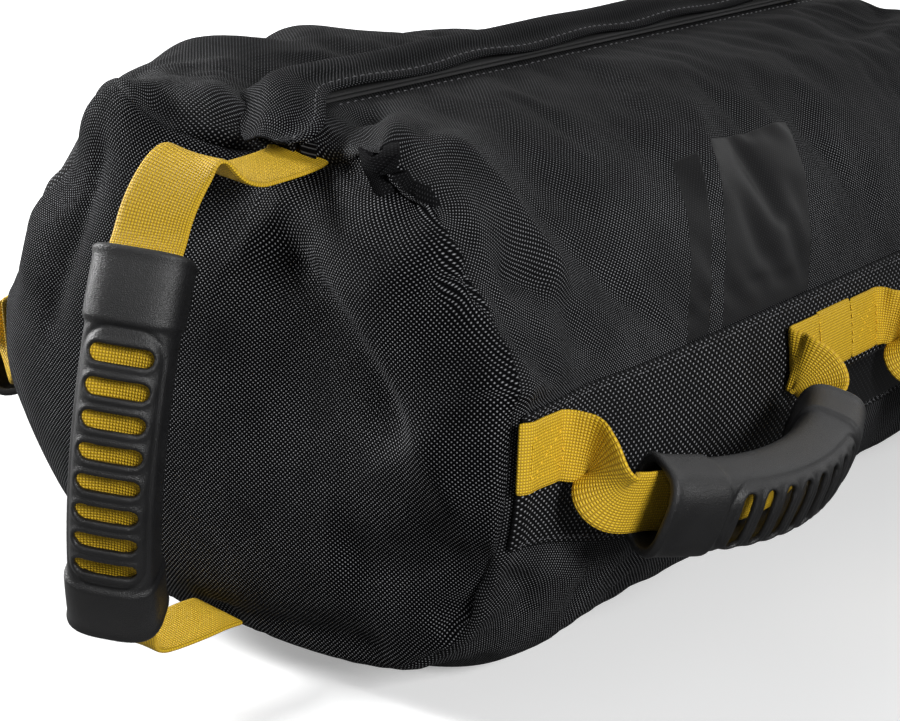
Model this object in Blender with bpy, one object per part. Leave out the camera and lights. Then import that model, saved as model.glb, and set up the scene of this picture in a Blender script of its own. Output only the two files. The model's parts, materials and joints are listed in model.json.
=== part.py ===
"""Sandbag trainer: a zipped fabric bag with filler bags of sand inside, four side handles
and two end handles, each a loop of webbing through a moulded grip.

Metres, +Z up. The origin is on the floor under the middle of the bag, +X runs along it to the
far end, and -Y is the front. A place on the bag is given by its distance along X and by its
distance round the girth, from the zip over the front to the bottom.
"""

from math import asin, ceil, cos, pi, radians, sin

import bmesh
import bpy
from mathutils import Matrix, Vector

# Fits
GAP = 0.0003
CUT_OVERRUN = 0.004
WELD_DISTANCE = 0.00001
SLOPE_STEP = 0.0005

# Bag
BAG_LENGTH = 0.460
BAG_WIDTH = 0.264
BAG_HEIGHT = 0.206
FABRIC_THICKNESS = 0.0020
SEAM_SETBACK = 0.036
CRUMPLE_START = 0.110
BASE_MARGIN = 0.066
FAR_END_LIFT = 0.010
END_BULGE = 0.016
END_CENTRE_HEIGHT = 0.100
SEAM_TAPE_WIDTH = 0.014
SEAM_TAPE_THICKNESS = 0.0012
STATION_SPACING = 0.055
GIRTH_SPACING = 0.030

# Zip
ZIP_NEAR_MARGIN = 0.044
ZIP_FAR_MARGIN = 0.014
ZIP_GAP_WIDTH = 0.014
ZIP_TAPE_WIDTH = 0.014
ZIP_TAPE_THICKNESS = 0.0008
ZIP_TEETH_WIDTH = 0.003
ZIP_TEETH_HEIGHT = 0.0020
ZIP_STOP_LENGTH = 0.004
SLIDER_LENGTH = 0.011
SLIDER_WIDTH = 0.0100
SLIDER_PLATE = 0.0013
SLIDER_LIP_DROP = 0.0012
SLIDER_BRIDGE_HEIGHT = 0.0046
SLIDER_BRIDGE_SPAN = 0.0088
SLIDER_BRIDGE_WIDTH = 0.0022
SLIDER_BRIDGE_BAR = 0.0012
PULL_LENGTH = 0.022
PULL_WIDTH = 0.0085
PULL_THICKNESS = 0.0012
PULL_EYE = 0.0008
PULL_EYE_RIM = 0.0010

# Flap over the zip
FLAP_NEAR_MARGIN = 0.018
FLAP_FAR_MARGIN = 0.040
FLAP_BACK = 0.020
FLAP_FRONT = 0.020
FLAP_THICKNESS = 0.0020
FLAP_RISE = 0.0082
FLAP_CREST_HALF = 0.007
HOOK_STRIP_WIDTH = 0.0115
HOOK_STRIP_THICKNESS = 0.0012
HOOK_STRIP_INSET = 0.006

# Side bands and webbing
BAND_WIDTH = 0.064
BAND_HEIGHT = 0.088
BAND_THICKNESS = 0.0018
WEBBING_WIDTH = 0.025
WEBBING_THICKNESS = 0.0018
STRAP_HEIGHT = 0.099
SIDE_ROOT_MARGIN = 0.028
SIDE_ROOT_SPAN = 0.162
SIDE_TAB_LENGTH = 0.024
SIDE_HANDLE_DROOP = radians(39)

# Grips
GRIP_CHORD = 0.130
GRIP_SAGITTA = 0.017
GRIP_WIDTH = 0.0305
GRIP_DEPTH = 0.0240
GRIP_WALL = 0.0022
GRIP_COLLAR = 0.023
GRIP_COLLAR_PROUD = 0.0012
GRIP_MOUTH_FLARE = 0.0010
GRIP_SLIDE = radians(2)
GRIP_CORNER_SHARE = 0.62
SLOT_COUNT = 8
SLOT_PITCH = 0.0102
SLOT_LENGTH = 0.0215
SLOT_WIDTH = 0.0058
SIDE_STAND_OFF = 0.031
END_STAND_OFF = 0.046
END_ROOT_INSET_TOP = 0.003
END_ROOT_INSET_BOTTOM = 0.008
ROOT_PULL_SHARE = 0.75
MOUTH_PULL_SHARE = 0.45
ROOT_INSET = 0.0026
ROOT_LIFT = 0.0004
RISE_STEPS = 5
ARC_HALF_STEPS = 3

# Filler bags
FILLER_CLOTH = 0.0012
FILLER_ROUNDING = 0.030
FILLER_CLEARANCE = 0.0030
FILLER_NEAR_MARGIN = 0.090
FILLER_FAR_MARGIN = 0.056
SAND_CLEARANCE = 0.0009
SAND_LEVEL = 0.108
CLOSURE_WIDTH = 0.060
CLOSURE_HEIGHT = 0.0060
CLOSURE_LENGTH = 0.0100
CLOSURE_LEVEL = 0.130
FILLER_SIDE_SHARES = (0.06, 0.17, 0.28, 0.39, 0.50, 0.61, 0.72, 0.82)
FILLER_BASE_SHARES = (0.88, 0.94)
WALL_SHARES = (0.08, 0.92)
FILLER_FULL_SHARE = 0.99
FILLER_END_SHARES = ((0, 0.84), (0.5, 0.95), (1, FILLER_FULL_SHARE))

HALF_LENGTH = BAG_LENGTH / 2
BASE_END = HALF_LENGTH - BASE_MARGIN
HALF_WIDTH = BAG_WIDTH / 2
ZIP_NEAR_END = ZIP_NEAR_MARGIN - HALF_LENGTH
ZIP_FAR_END = HALF_LENGTH - ZIP_FAR_MARGIN
ZIP_STRAIGHT_NEAR = ZIP_STOP_LENGTH * 1.2 - ZIP_NEAR_END
ZIP_STRAIGHT_FAR = ZIP_STOP_LENGTH * 1.2 + ZIP_FAR_END
FLAP_NEAR_END = FLAP_NEAR_MARGIN - HALF_LENGTH
FLAP_FAR_END = HALF_LENGTH - FLAP_FAR_MARGIN
SIDE_ROOT_OUTER = HALF_LENGTH - SIDE_ROOT_MARGIN
SIDE_ROOT_INNER = SIDE_ROOT_OUTER - SIDE_ROOT_SPAN
FILLER_NEAR_END = FILLER_NEAR_MARGIN - HALF_LENGTH
FILLER_FAR_END = HALF_LENGTH - FILLER_FAR_MARGIN

# Outlines of the bag, from the zip over the front (-Y), as shares of half the width and of the
# height. The end outline adds how far its seam is set back, as a share of the setback.
MID_SHARES = [
    (0.0, 1.0), (-0.36, 0.985), (-0.68, 0.89), (-0.90, 0.70), (-1.0, 0.47), (-0.95, 0.25),
    (-0.78, 0.08), (-0.50, 0.0), (0.0, 0.0), (0.50, 0.0), (0.78, 0.08), (0.95, 0.25),
    (1.0, 0.47), (0.90, 0.70), (0.68, 0.89), (0.36, 0.985),
]
END_SHARES = [
    (0.05, -0.20, 0.955), (0.25, -0.56, 0.985), (0.35, -0.80, 0.85), (0.30, -0.97, 0.68),
    (0.15, -1.0, 0.52), (0.20, -0.95, 0.34), (0.35, -0.80, 0.17), (0.35, -0.50, 0.075),
    (0.50, 0.0, 0.06), (0.85, 0.40, 0.07), (1.0, 0.62, 0.14), (0.92, 0.82, 0.29),
    (0.75, 0.94, 0.50), (0.55, 0.88, 0.71), (0.35, 0.56, 0.95), (0.12, 0.20, 0.985),
]
FAR_END_SHARE = 0.40
END_PINCH_SHARE = 0.97

COLOURS = {
    "bag_fabric": ((0.012, 0.012, 0.013), 0.85, 0.0),
    "band_webbing": ((0.010, 0.010, 0.010), 0.80, 0.0),
    "yellow_webbing": ((0.860, 0.530, 0.015), 0.75, 0.0),
    "grip_rubber": ((0.022, 0.022, 0.024), 0.55, 0.0),
    "zip_tape": ((0.010, 0.010, 0.010), 0.85, 0.0),
    "zip_metal": ((0.030, 0.030, 0.032), 0.35, 1.0),
    "zip_teeth": ((0.015, 0.015, 0.016), 0.45, 0.0),
    "hook_tape": ((0.012, 0.012, 0.012), 0.90, 0.0),
    "filler_cloth": ((0.060, 0.062, 0.065), 0.80, 0.0),
    "sand": ((0.530, 0.400, 0.240), 0.95, 0.0),
}


def clear_scene():
    for item in list(bpy.data.objects):
        bpy.data.objects.remove(item, do_unlink=True)


def material(name):
    found = bpy.data.materials.get(name)
    if found:
        return found
    colour, roughness, metallic = COLOURS[name]
    made = bpy.data.materials.new(name)
    made.use_nodes = True
    shader = made.node_tree.nodes["Principled BSDF"]
    shader.inputs["Base Color"].default_value = (*colour, 1.0)
    shader.inputs["Roughness"].default_value = roughness
    shader.inputs["Metallic"].default_value = metallic
    return made


def finish_object(name, mesh, material_name, parent=None, matrix=None):
    """Link a mesh as an object of that name, with its material and its place."""
    mesh.materials.clear()
    mesh.materials.append(material(material_name))
    made = bpy.data.objects.new(name, mesh)
    bpy.context.scene.collection.objects.link(made)
    if matrix:
        made.matrix_world = matrix
    if parent:
        made.parent = parent
        made.matrix_parent_inverse = parent.matrix_world.inverted()
    return made


def mesh_from(bm, name):
    """A mesh with its faces pointing out, shaded smooth but for its sharp edges."""
    bmesh.ops.recalc_face_normals(bm, faces=bm.faces)
    if bm.calc_volume(signed=True) < 0:
        bmesh.ops.reverse_faces(bm, faces=bm.faces)
    mesh = bpy.data.meshes.new(name)
    bm.to_mesh(mesh)
    bm.free()
    mesh.shade_smooth()
    mesh.set_sharp_from_angle(angle=radians(35))
    return mesh


def joint_empty(name, matrix, parent=None):
    """An empty whose X axis is the joint's axis."""
    made = bpy.data.objects.new(name, None)
    bpy.context.scene.collection.objects.link(made)
    made.matrix_world = matrix
    if parent:
        made.parent = parent
        made.matrix_parent_inverse = parent.matrix_world.inverted()
    bpy.context.view_layer.update()
    return made


def spread(low, high, spacing):
    """Evenly spaced values from low to high, no further apart than spacing."""
    steps = max(1, ceil((high - low) / spacing))
    return [low + (high - low) * k / steps for k in range(steps + 1)]


def lines_through(marks, spacing):
    """The marks in order, with evenly spaced lines between them."""
    marks = sorted(marks)
    lines = [marks[0]]
    for low, high in zip(marks, marks[1:]):
        lines += spread(low, high, spacing)[1:]
    return lines


def between(lines, low, high):
    """The lines of a grid that lie from low to high, with both ends."""
    inside = [v for v in lines if low + WELD_DISTANCE < v < high - WELD_DISTANCE]
    return [low, *inside, high]


class Loop:
    """A closed smooth outline through given points, read by a distance share.

    The shares are those of the outline itself, or of another with as many points, so that a
    share falls between the same two given points on both.
    """

    def __init__(self, points, shares_of=None, steps=12):
        self.points = []
        count = len(points)
        for k in range(count):
            before, start, stop, after = (Vector(points[(k + d) % count]) for d in (-1, 0, 1, 2))
            for step in range(steps):
                t = step / steps
                bend = (stop - before) * t
                bend += (before * 2 - start * 5 + stop * 4 - after) * t**2
                bend += (start * 3 - before - stop * 3 + after) * t**3
                point = start + bend / 2
                point.z = max(point.z, 0)
                self.points.append(point)
        self.points.append(self.points[0])
        self.reach = [0]
        for one, two in zip(self.points, self.points[1:]):
            self.reach.append(self.reach[-1] + (two.yz - one.yz).length)
        if shares_of:
            self.reach = shares_of.reach
        self.length = self.reach[-1]

    def at(self, share):
        goal = (share % 1.0) * self.length
        low, high = 0, len(self.reach) - 1
        while high - low > 1:
            middle = (low + high) // 2
            if self.reach[middle] <= goal:
                low = middle
            else:
                high = middle
        step = self.reach[high] - self.reach[low]
        return self.points[low].lerp(self.points[high], (goal - self.reach[low]) / step)


def scaled(shares):
    return [(x * SEAM_SETBACK, y * HALF_WIDTH, z * BAG_HEIGHT) for x, y, z in shares]


MID = Loop(scaled([(0.0, y, z) for y, z in MID_SHARES]))
END = Loop(scaled(END_SHARES), shares_of=MID)
GIRTH = MID.length


def smooth_step(value):
    value = min(max(value, 0), 1)
    return value * value * (3 - 2 * value)


def end_weight(x, girth):
    """How much of the end outline there is at a place: none in the straight middle."""
    away = min(1, 2.5 * sin(pi * girth / GIRTH) ** 2)
    zip_end = ZIP_STRAIGHT_FAR if x > 0 else ZIP_STRAIGHT_NEAR
    start = zip_end + (CRUMPLE_START - zip_end) * away
    under = min(1, max(0, -1.5 * cos(2 * pi * girth / GIRTH)))
    start += (BASE_END - start) * under
    return smooth_step((abs(x) - start) / (HALF_LENGTH - start))


def skin(x, girth):
    """The point of the bag's outer face at a distance along it and round its girth."""
    share = girth / GIRTH
    middle = MID.at(share)
    weight = end_weight(x, girth)
    if x > 0:
        end = END.at(1 - share)
        end = Vector((end.x, -end.y, end.z))
        calm = Vector((0, middle.y * END_PINCH_SHARE, max(middle.z, FAR_END_LIFT)))
        end = end.lerp(calm, 1 - FAR_END_SHARE)
    else:
        end = END.at(share)
    point = middle.lerp(end, weight)
    side = 1 if x > 0 else -1
    return Vector((x - side * point.x, point.y, point.z))


def skin_normal(x, girth):
    """The outward direction there, from the slopes of the face."""
    inner = x - SLOPE_STEP if x > 0 else x + SLOPE_STEP
    along = (skin(x, girth) - skin(inner, girth)) * (1 if x > 0 else -1)
    around = skin(x, girth + SLOPE_STEP) - skin(x, girth - SLOPE_STEP)
    normal = around.cross(along)
    normal.normalize()
    return normal


def lifted(x, girth, lift):
    return skin(x, girth) + skin_normal(x, girth) * lift


def girth_at_height(height):
    """The distance round the front where the middle outline passes a height."""
    low, high = 0, GIRTH / 2
    for _ in range(40):
        middle = (low + high) / 2
        if MID.at(middle / GIRTH).z > height:
            low = middle
        else:
            high = middle
    return low


STRAP_GIRTH = girth_at_height(STRAP_HEIGHT)
BAND_GIRTH = girth_at_height(BAND_HEIGHT)
STRAP_EDGES = (STRAP_GIRTH - WEBBING_WIDTH / 2, STRAP_GIRTH + WEBBING_WIDTH / 2)
BAND_EDGES = (BAND_GIRTH - BAND_WIDTH / 2, BAND_GIRTH + BAND_WIDTH / 2)
LOOP_STRIP_START = FLAP_FRONT - HOOK_STRIP_WIDTH
FRONT_MARKS = [
    0, ZIP_GAP_WIDTH / 2, LOOP_STRIP_START, ZIP_TAPE_WIDTH, FLAP_FRONT, *BAND_EDGES,
    *STRAP_EDGES, GIRTH / 2,
]
FRONT_LINES = lines_through(FRONT_MARKS, GIRTH_SPACING)
GIRTH_LINES = FRONT_LINES + [GIRTH - v for v in reversed(FRONT_LINES[:-1])]
END_FACE = HALF_LENGTH - FABRIC_THICKNESS
SEAM_TAPE_START = END_FACE - GAP
SIDE_TAB_START = SIDE_ROOT_OUTER + SIDE_TAB_LENGTH
SEAM_TAPE_STOP = SEAM_TAPE_START - SEAM_TAPE_WIDTH
HALF_MARKS = [HALF_LENGTH, SEAM_TAPE_START, SEAM_TAPE_STOP, SIDE_TAB_START, SIDE_ROOT_OUTER,
              BASE_END, CRUMPLE_START, SIDE_ROOT_INNER]
ZIP_MARKS = [-ZIP_STRAIGHT_NEAR, ZIP_STRAIGHT_FAR]
STATIONS = lines_through(HALF_MARKS + [-v for v in HALF_MARKS] + ZIP_MARKS, STATION_SPACING)


def slab(rows, columns, place, closed=False):
    """A closed solid from a grid of rows by columns with two layers.

    place(row, column, layer) gives each corner. A closed slab joins its last column to its
    first, as a tube does.
    """
    bm = bmesh.new()
    wide = columns if closed else columns - 1
    bmesh.ops.create_grid(bm, x_segments=rows - 1, y_segments=wide, size=1)
    keys = [bm.verts.layers.int.new(key) for key in ("row", "column", "layer")]
    for vert in bm.verts:
        vert[keys[0]] = round((vert.co.x + 1) / 2 * (rows - 1))
        vert[keys[1]] = round((vert.co.y + 1) / 2 * wide)
    if closed:
        for vert in bm.verts:
            turn = 2 * pi * vert[keys[1]] / columns
            vert[keys[1]] %= columns
            vert.co = (vert.co.x, cos(turn), sin(turn))
        bmesh.ops.remove_doubles(bm, verts=bm.verts, dist=WELD_DISTANCE)
    bmesh.ops.triangulate(bm, faces=bm.faces, quad_method="FIXED")
    copied = bmesh.ops.extrude_face_region(bm, geom=bm.faces[:])
    for item in copied["geom"]:
        if isinstance(item, bmesh.types.BMVert):
            item[keys[2]] = 1
    for vert in bm.verts:
        vert.co = place(*(vert[key] for key in keys))
    return bm


def skin_sheet(name, xs, girths, lift, thickness, material_name, parent=None):
    """A sheet that lies on the bag: its lower face at a lift, and its thickness above that."""

    def place(row, column, layer):
        return lifted(xs[row], girths[column], lift + layer * thickness)

    bm = slab(len(xs), len(girths), place)
    return finish_object(name, mesh_from(bm, name), material_name, parent)


def body_panel():
    girths = between(GIRTH_LINES, ZIP_GAP_WIDTH / 2, GIRTH - ZIP_GAP_WIDTH / 2)
    skin_sheet("body_panel", STATIONS, girths, -FABRIC_THICKNESS, FABRIC_THICKNESS, "bag_fabric")


def end_panel(name, side):
    """A domed panel inside the bag's end, whose rim follows the body panel's inner face."""
    spokes = len(GIRTH_LINES) - 1
    rings = 3
    inset = FABRIC_THICKNESS + GAP
    bm = bmesh.new()
    start = [bm.verts.new((k, 0, 0)) for k in range(rings + 1)]
    edges = [bm.edges.new(pair) for pair in zip(start, start[1:])]
    bmesh.ops.spin(bm, geom=start + edges, cent=(0, 0, 0), axis=(0, 0, 1), angle=2 * pi,
                   steps=spokes, use_merge=True)
    bmesh.ops.remove_doubles(bm, verts=bm.verts, dist=WELD_DISTANCE)
    keys = [bm.verts.layers.int.new(key) for key in ("ring", "spoke", "layer")]
    for vert in bm.verts:
        vert[keys[0]] = round(vert.co.length)
        turn = vert.co.xy.angle_signed(Vector((1, 0)), 0)
        vert[keys[1]] = round(turn / (2 * pi) * spokes) % spokes
    bmesh.ops.triangulate(bm, faces=bm.faces, quad_method="FIXED")
    copied = bmesh.ops.extrude_face_region(bm, geom=bm.faces[:])
    for item in copied["geom"]:
        if isinstance(item, bmesh.types.BMVert):
            item[keys[2]] = 1
    for vert in bm.verts:
        ring, spoke, layer = (vert[key] for key in keys)
        share = ring / rings
        depth = HALF_LENGTH - (1 - layer) * FABRIC_THICKNESS
        rim = lifted(side * depth, GIRTH_LINES[spoke], -inset)
        middle = Vector((side * (depth - SEAM_SETBACK / 2), 0, END_CENTRE_HEIGHT))
        bulge = Vector((side * (END_BULGE + SEAM_SETBACK / 4) * (1 - share**2), 0, 0))
        vert.co = middle.lerp(rim, share) + bulge
    finish_object(name, mesh_from(bm, name), "bag_fabric")


def seam_tape(name, side):
    """Tape sewn inside round the end seam, open where the zip's tapes run through."""
    girths = between(GIRTH_LINES, ZIP_TAPE_WIDTH + GAP, GIRTH - ZIP_TAPE_WIDTH - GAP)
    ends = sorted((side * SEAM_TAPE_START, side * SEAM_TAPE_STOP))
    lift = -FABRIC_THICKNESS - GAP - SEAM_TAPE_THICKNESS
    skin_sheet(name, between(STATIONS, *ends), girths, lift, SEAM_TAPE_THICKNESS, "zip_tape")


def zip_tape(name, girths):
    """One tape of the zip, sewn under the body panel's edge from end to end."""
    xs = between(STATIONS, -SEAM_TAPE_START, SEAM_TAPE_START)
    lift = -FABRIC_THICKNESS - GAP - ZIP_TAPE_THICKNESS
    skin_sheet(name, xs, girths, lift, ZIP_TAPE_THICKNESS, "zip_tape")


def zip_tapes():
    middle = GAP / 2
    front = between(GIRTH_LINES, middle, ZIP_TAPE_WIDTH)
    zip_tape("zip_tape_front", front)
    zip_tape("zip_tape_back", [GIRTH - v for v in reversed(front)])


TEETH_BASE = BAG_HEIGHT - FABRIC_THICKNESS
TEETH_TOP = TEETH_BASE + ZIP_TEETH_HEIGHT


def block(low, high):
    """A box between two corners."""
    bm = bmesh.new()
    bmesh.ops.create_cube(bm, size=1)
    low, high = Vector(low), Vector(high)
    for vert in bm.verts:
        vert.co = [a + (b - a) * (c + 0.5) for a, b, c in zip(low, high, vert.co)]
    return bm


def bevelled(bm, width, segments=1):
    bmesh.ops.bevel(bm, geom=bm.edges[:], offset=width, segments=segments, profile=0.5,
                    affect="EDGES", material=-1)
    return bm


def zip_teeth(name, side):
    """One row of teeth on its tape, as a bar with rounded edges."""
    inner, outer = GAP / 2, ZIP_TEETH_WIDTH
    low = (ZIP_NEAR_END, min(side * inner, side * outer), TEETH_BASE)
    high = (ZIP_FAR_END, max(side * inner, side * outer), TEETH_TOP)
    bm = bevelled(block(low, high), ZIP_TEETH_HEIGHT / 5)
    finish_object(name, mesh_from(bm, name), "zip_teeth")


def zip_stop(name, x, low_y, high_y):
    """A crimped stop at the end of the teeth."""
    low = (x, low_y, TEETH_BASE)
    high = (x + ZIP_STOP_LENGTH, high_y, TEETH_TOP + GAP)
    bm = bevelled(block(low, high), ZIP_TEETH_HEIGHT / 5)
    finish_object(name, mesh_from(bm, name), "zip_metal")


def zip_stops():
    width = ZIP_TEETH_WIDTH
    zip_stop("zip_stop_near", ZIP_NEAR_END - GAP - ZIP_STOP_LENGTH, -width, width)
    far = ZIP_FAR_END + GAP
    zip_stop("zip_stop_far_front", far, -width, -GAP / 2)
    zip_stop("zip_stop_far_back", far, GAP / 2, width)


def boolean(target, cutter, operation):
    change = target.modifiers.new(operation.lower(), "BOOLEAN")
    change.operation = operation
    change.solver = "EXACT"
    change.object = cutter
    cutter.hide_render = True
    cutter.display_type = "WIRE"


SLIDER_MIDDLE = ZIP_FAR_END - SLIDER_LENGTH / 2
SLIDER_BASE = TEETH_TOP + GAP
BRIDGE_TOP = SLIDER_BASE + SLIDER_PLATE + SLIDER_BRIDGE_HEIGHT
PULL_AXIS_HEIGHT = BRIDGE_TOP - SLIDER_BRIDGE_BAR - GAP - PULL_THICKNESS / 2
PULL_AXIS_X = SLIDER_MIDDLE


def bar(outline, low_y, high_y):
    """A solid with an outline in X and Z, from low_y to high_y."""
    bm = bmesh.new()
    face = bm.faces.new([bm.verts.new((x, low_y, z)) for x, z in outline])
    made = bmesh.ops.extrude_face_region(bm, geom=[face])
    moved = [v for v in made["geom"] if isinstance(v, bmesh.types.BMVert)]
    bmesh.ops.translate(bm, verts=moved, vec=(0, high_y - low_y, 0))
    return bm


def zip_slider(parent):
    """The slider's upper shell with its lips beside the teeth, and the bridge for the pull."""
    half = SLIDER_LENGTH / 2
    top = SLIDER_BASE + SLIDER_PLATE
    low = (SLIDER_MIDDLE - half, -SLIDER_WIDTH / 2, SLIDER_BASE - SLIDER_LIP_DROP)
    high = (SLIDER_MIDDLE + half, SLIDER_WIDTH / 2, top)
    shell = bevelled(block(low, high), SLIDER_PLATE / 3)
    slider = finish_object("zip_slider", mesh_from(shell, "zip_slider"), "zip_metal", parent)
    clear = ZIP_TEETH_WIDTH + GAP
    channel = block((low[0] - CUT_OVERRUN, -clear, low[2] - CUT_OVERRUN),
                    (high[0] + CUT_OVERRUN, clear, SLIDER_BASE))
    cutter = finish_object("slider_channel", mesh_from(channel, "slider_channel"), "zip_metal")
    boolean(slider, cutter, "DIFFERENCE")
    span = SLIDER_BRIDGE_SPAN / 2
    foot = top - SLIDER_PLATE / 2
    under = BRIDGE_TOP - SLIDER_BRIDGE_BAR
    leg = SLIDER_BRIDGE_BAR
    outline = [
        (-span, foot), (-span, under), (-span + leg, BRIDGE_TOP), (span - leg, BRIDGE_TOP),
        (span, under), (span, foot), (span - leg, foot), (span - leg, under),
        (-span + leg, under), (-span + leg, foot),
    ]
    outline = [(SLIDER_MIDDLE + x, z) for x, z in outline]
    bridge = bar(outline, -SLIDER_BRIDGE_WIDTH / 2, SLIDER_BRIDGE_WIDTH / 2)
    joined = finish_object("slider_bridge", mesh_from(bridge, "slider_bridge"), "zip_metal")
    boolean(slider, joined, "UNION")


def zip_pull(parent):
    """A flat tab with an eye round the slider's bridge, lying towards the bag's far end."""
    half = PULL_WIDTH / 2
    low = (-PULL_EYE - PULL_EYE_RIM, -half, -PULL_THICKNESS / 2)
    high = (low[0] + PULL_LENGTH, half, PULL_THICKNESS / 2)
    bm = block(low, high)
    upright = [e for e in bm.edges if abs(e.verts[0].co.z - e.verts[1].co.z) > GAP]
    bmesh.ops.bevel(bm, geom=upright, offset=half * 0.6, segments=3, profile=0.5,
                    affect="EDGES", material=-1)
    place = Matrix.Translation((PULL_AXIS_X, 0, PULL_AXIS_HEIGHT))
    pull = finish_object("zip_pull", mesh_from(bm, "zip_pull"), "zip_metal", parent, place)
    side = SLIDER_BRIDGE_WIDTH / 2 + GAP * 2
    reach = SLIDER_BRIDGE_SPAN / 2 + GAP * 2
    hole = block((-PULL_EYE, -side, -CUT_OVERRUN), (reach, side, CUT_OVERRUN))
    cutter = finish_object("pull_eye", mesh_from(hole, "pull_eye"), "zip_metal", None, place)
    boolean(pull, cutter, "DIFFERENCE")


FLAP_AXIS_HEIGHT = BAG_HEIGHT + GAP + FLAP_THICKNESS / 2
STRIP_LIFT = BAG_HEIGHT + GAP + HOOK_STRIP_THICKNESS + GAP


def flap(parent):
    """The double fabric flap, sewn along its back edge, arched over the slider."""
    base = BAG_HEIGHT + GAP
    landing = STRIP_LIFT + HOOK_STRIP_THICKNESS + GAP
    crest = BAG_HEIGHT + FLAP_RISE
    under = [
        (FLAP_BACK, base), (FLAP_CREST_HALF * 1.6, (base + crest * 2) / 3),
        (FLAP_CREST_HALF, crest), (-FLAP_CREST_HALF / 2, crest),
        (-LOOP_STRIP_START - GAP, landing), (-FLAP_FRONT, landing),
    ]
    xs = spread(FLAP_NEAR_END, FLAP_FAR_END, STATION_SPACING * 2)
    tip = FLAP_FRONT - LOOP_STRIP_START

    def place(row, column, layer):
        y, z = under[column]
        lift = layer * FLAP_THICKNESS
        x = xs[row]
        if row == 0 and column in (0, len(under) - 1):
            x += tip / 2
        if row == len(xs) - 1 and column == len(under) - 1:
            x -= tip / 2
        return Vector((x, y, z + lift))

    bm = slab(len(xs), len(under), place)
    finish_object("zip_flap", mesh_from(bm, "zip_flap"), "bag_fabric", parent)


def hook_strips(parent):
    """Hook strip under the flap's free edge, and the loop strip on the body panel."""
    start, stop = FLAP_NEAR_END + HOOK_STRIP_INSET * 3, FLAP_FAR_END - HOOK_STRIP_INSET
    low = (start, -FLAP_FRONT + GAP, STRIP_LIFT)
    high = (stop, -LOOP_STRIP_START - GAP * 2, STRIP_LIFT + HOOK_STRIP_THICKNESS)
    bm = block(low, high)
    finish_object("flap_hook_strip", mesh_from(bm, "flap_hook_strip"), "hook_tape", parent)
    xs = between(STATIONS, max(start, ZIP_NEAR_END), stop)
    girths = between(GIRTH_LINES, LOOP_STRIP_START, FLAP_FRONT)
    skin_sheet("flap_loop_strip", xs, girths, GAP, HOOK_STRIP_THICKNESS, "hook_tape")


BAND_LIFT = GAP
STRAP_LIFT = BAND_LIFT + BAND_THICKNESS + GAP


def mirrored_girths(girths, back):
    return [GIRTH - v for v in reversed(girths)] if back else girths


def side_band(side_name, back):
    """The wide black webbing sewn along one side under the straps."""
    xs = between(STATIONS, -SEAM_TAPE_START, SEAM_TAPE_START)
    girths = mirrored_girths(between(GIRTH_LINES, *BAND_EDGES), back)
    skin_sheet(f"side_band_{side_name}", xs, girths, BAND_LIFT, BAND_THICKNESS, "band_webbing")


def side_straps(side_name, back):
    """The stretches of yellow webbing that are sewn down: two ends and the middle."""
    stretches = {
        "near": (-SIDE_TAB_START, -SIDE_ROOT_OUTER),
        "middle": (-SIDE_ROOT_INNER, SIDE_ROOT_INNER),
        "far": (SIDE_ROOT_OUTER, SIDE_TAB_START),
    }
    girths = mirrored_girths(between(GIRTH_LINES, *STRAP_EDGES), back)
    for place_name, ends in stretches.items():
        skin_sheet(f"side_strap_{side_name}_{place_name}", between(STATIONS, *ends), girths,
                   STRAP_LIFT, WEBBING_THICKNESS, "yellow_webbing")


GRIP_RADIUS = (GRIP_CHORD**2 / 4 + GRIP_SAGITTA**2) / (2 * GRIP_SAGITTA)
GRIP_HALF_TURN = asin(GRIP_CHORD / 2 / GRIP_RADIUS)


def arc_place(turn, out, across):
    """A point on the grip, from the centre of its arc: X along the handle, Y outwards."""
    reach = GRIP_RADIUS + out
    return Vector((reach * sin(turn), reach * cos(turn), across))


def round_box(share, half_depth, half_width):
    """A point of a box outline with round corners, as its depth and its width."""
    turn = 2 * pi * share
    c, s = cos(turn), sin(turn)
    depth = half_depth * abs(c) ** GRIP_CORNER_SHARE * (1 if c > 0 else -1)
    width = half_width * abs(s) ** GRIP_CORNER_SHARE * (1 if s > 0 else -1)
    return depth, width


def grip_mesh():
    """One moulded grip round its arc, with the slots cut through its outer wall."""
    collar_turn = GRIP_COLLAR / GRIP_RADIUS
    mouth_turn = GRIP_WALL / GRIP_RADIUS
    step_turn = GRIP_COLLAR_PROUD / GRIP_RADIUS
    half = GRIP_HALF_TURN
    rows = [
        (-half, GRIP_MOUTH_FLARE), (-half + mouth_turn, GRIP_COLLAR_PROUD),
        (-half + collar_turn, GRIP_COLLAR_PROUD), (-half + collar_turn + step_turn, 0),
        (-(half - collar_turn) / 3, 0), ((half - collar_turn) / 3, 0),
        (half - collar_turn - step_turn, 0), (half - collar_turn, GRIP_COLLAR_PROUD),
        (half - mouth_turn, GRIP_COLLAR_PROUD), (half, GRIP_MOUTH_FLARE),
    ]
    sides = 12

    def place(row, column, layer):
        turn, proud = rows[row]
        inner = GRIP_WALL if layer == 0 else -proud
        depth, width = round_box(column / sides, GRIP_DEPTH / 2 - inner, GRIP_WIDTH / 2 - inner)
        return arc_place(turn, depth, width)

    bm = slab(len(rows), sides, place, closed=True)
    shell = finish_object("grip_shell", mesh_from(bm, "grip_shell"), "grip_rubber")
    cutters = []
    for k in range(SLOT_COUNT):
        turn = (k - (SLOT_COUNT - 1) / 2) * SLOT_PITCH / GRIP_RADIUS
        cutter = finish_object(f"slot_{k}", slot_mesh(turn), "grip_rubber")
        boolean(shell, cutter, "DIFFERENCE")
        cutters.append(cutter)
    bpy.context.view_layer.update()
    graph = bpy.context.evaluated_depsgraph_get()
    mesh = bpy.data.meshes.new_from_object(shell.evaluated_get(graph))
    mesh.name = "grip"
    for item in [shell, *cutters]:
        bpy.data.objects.remove(item, do_unlink=True)
    return mesh


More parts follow.
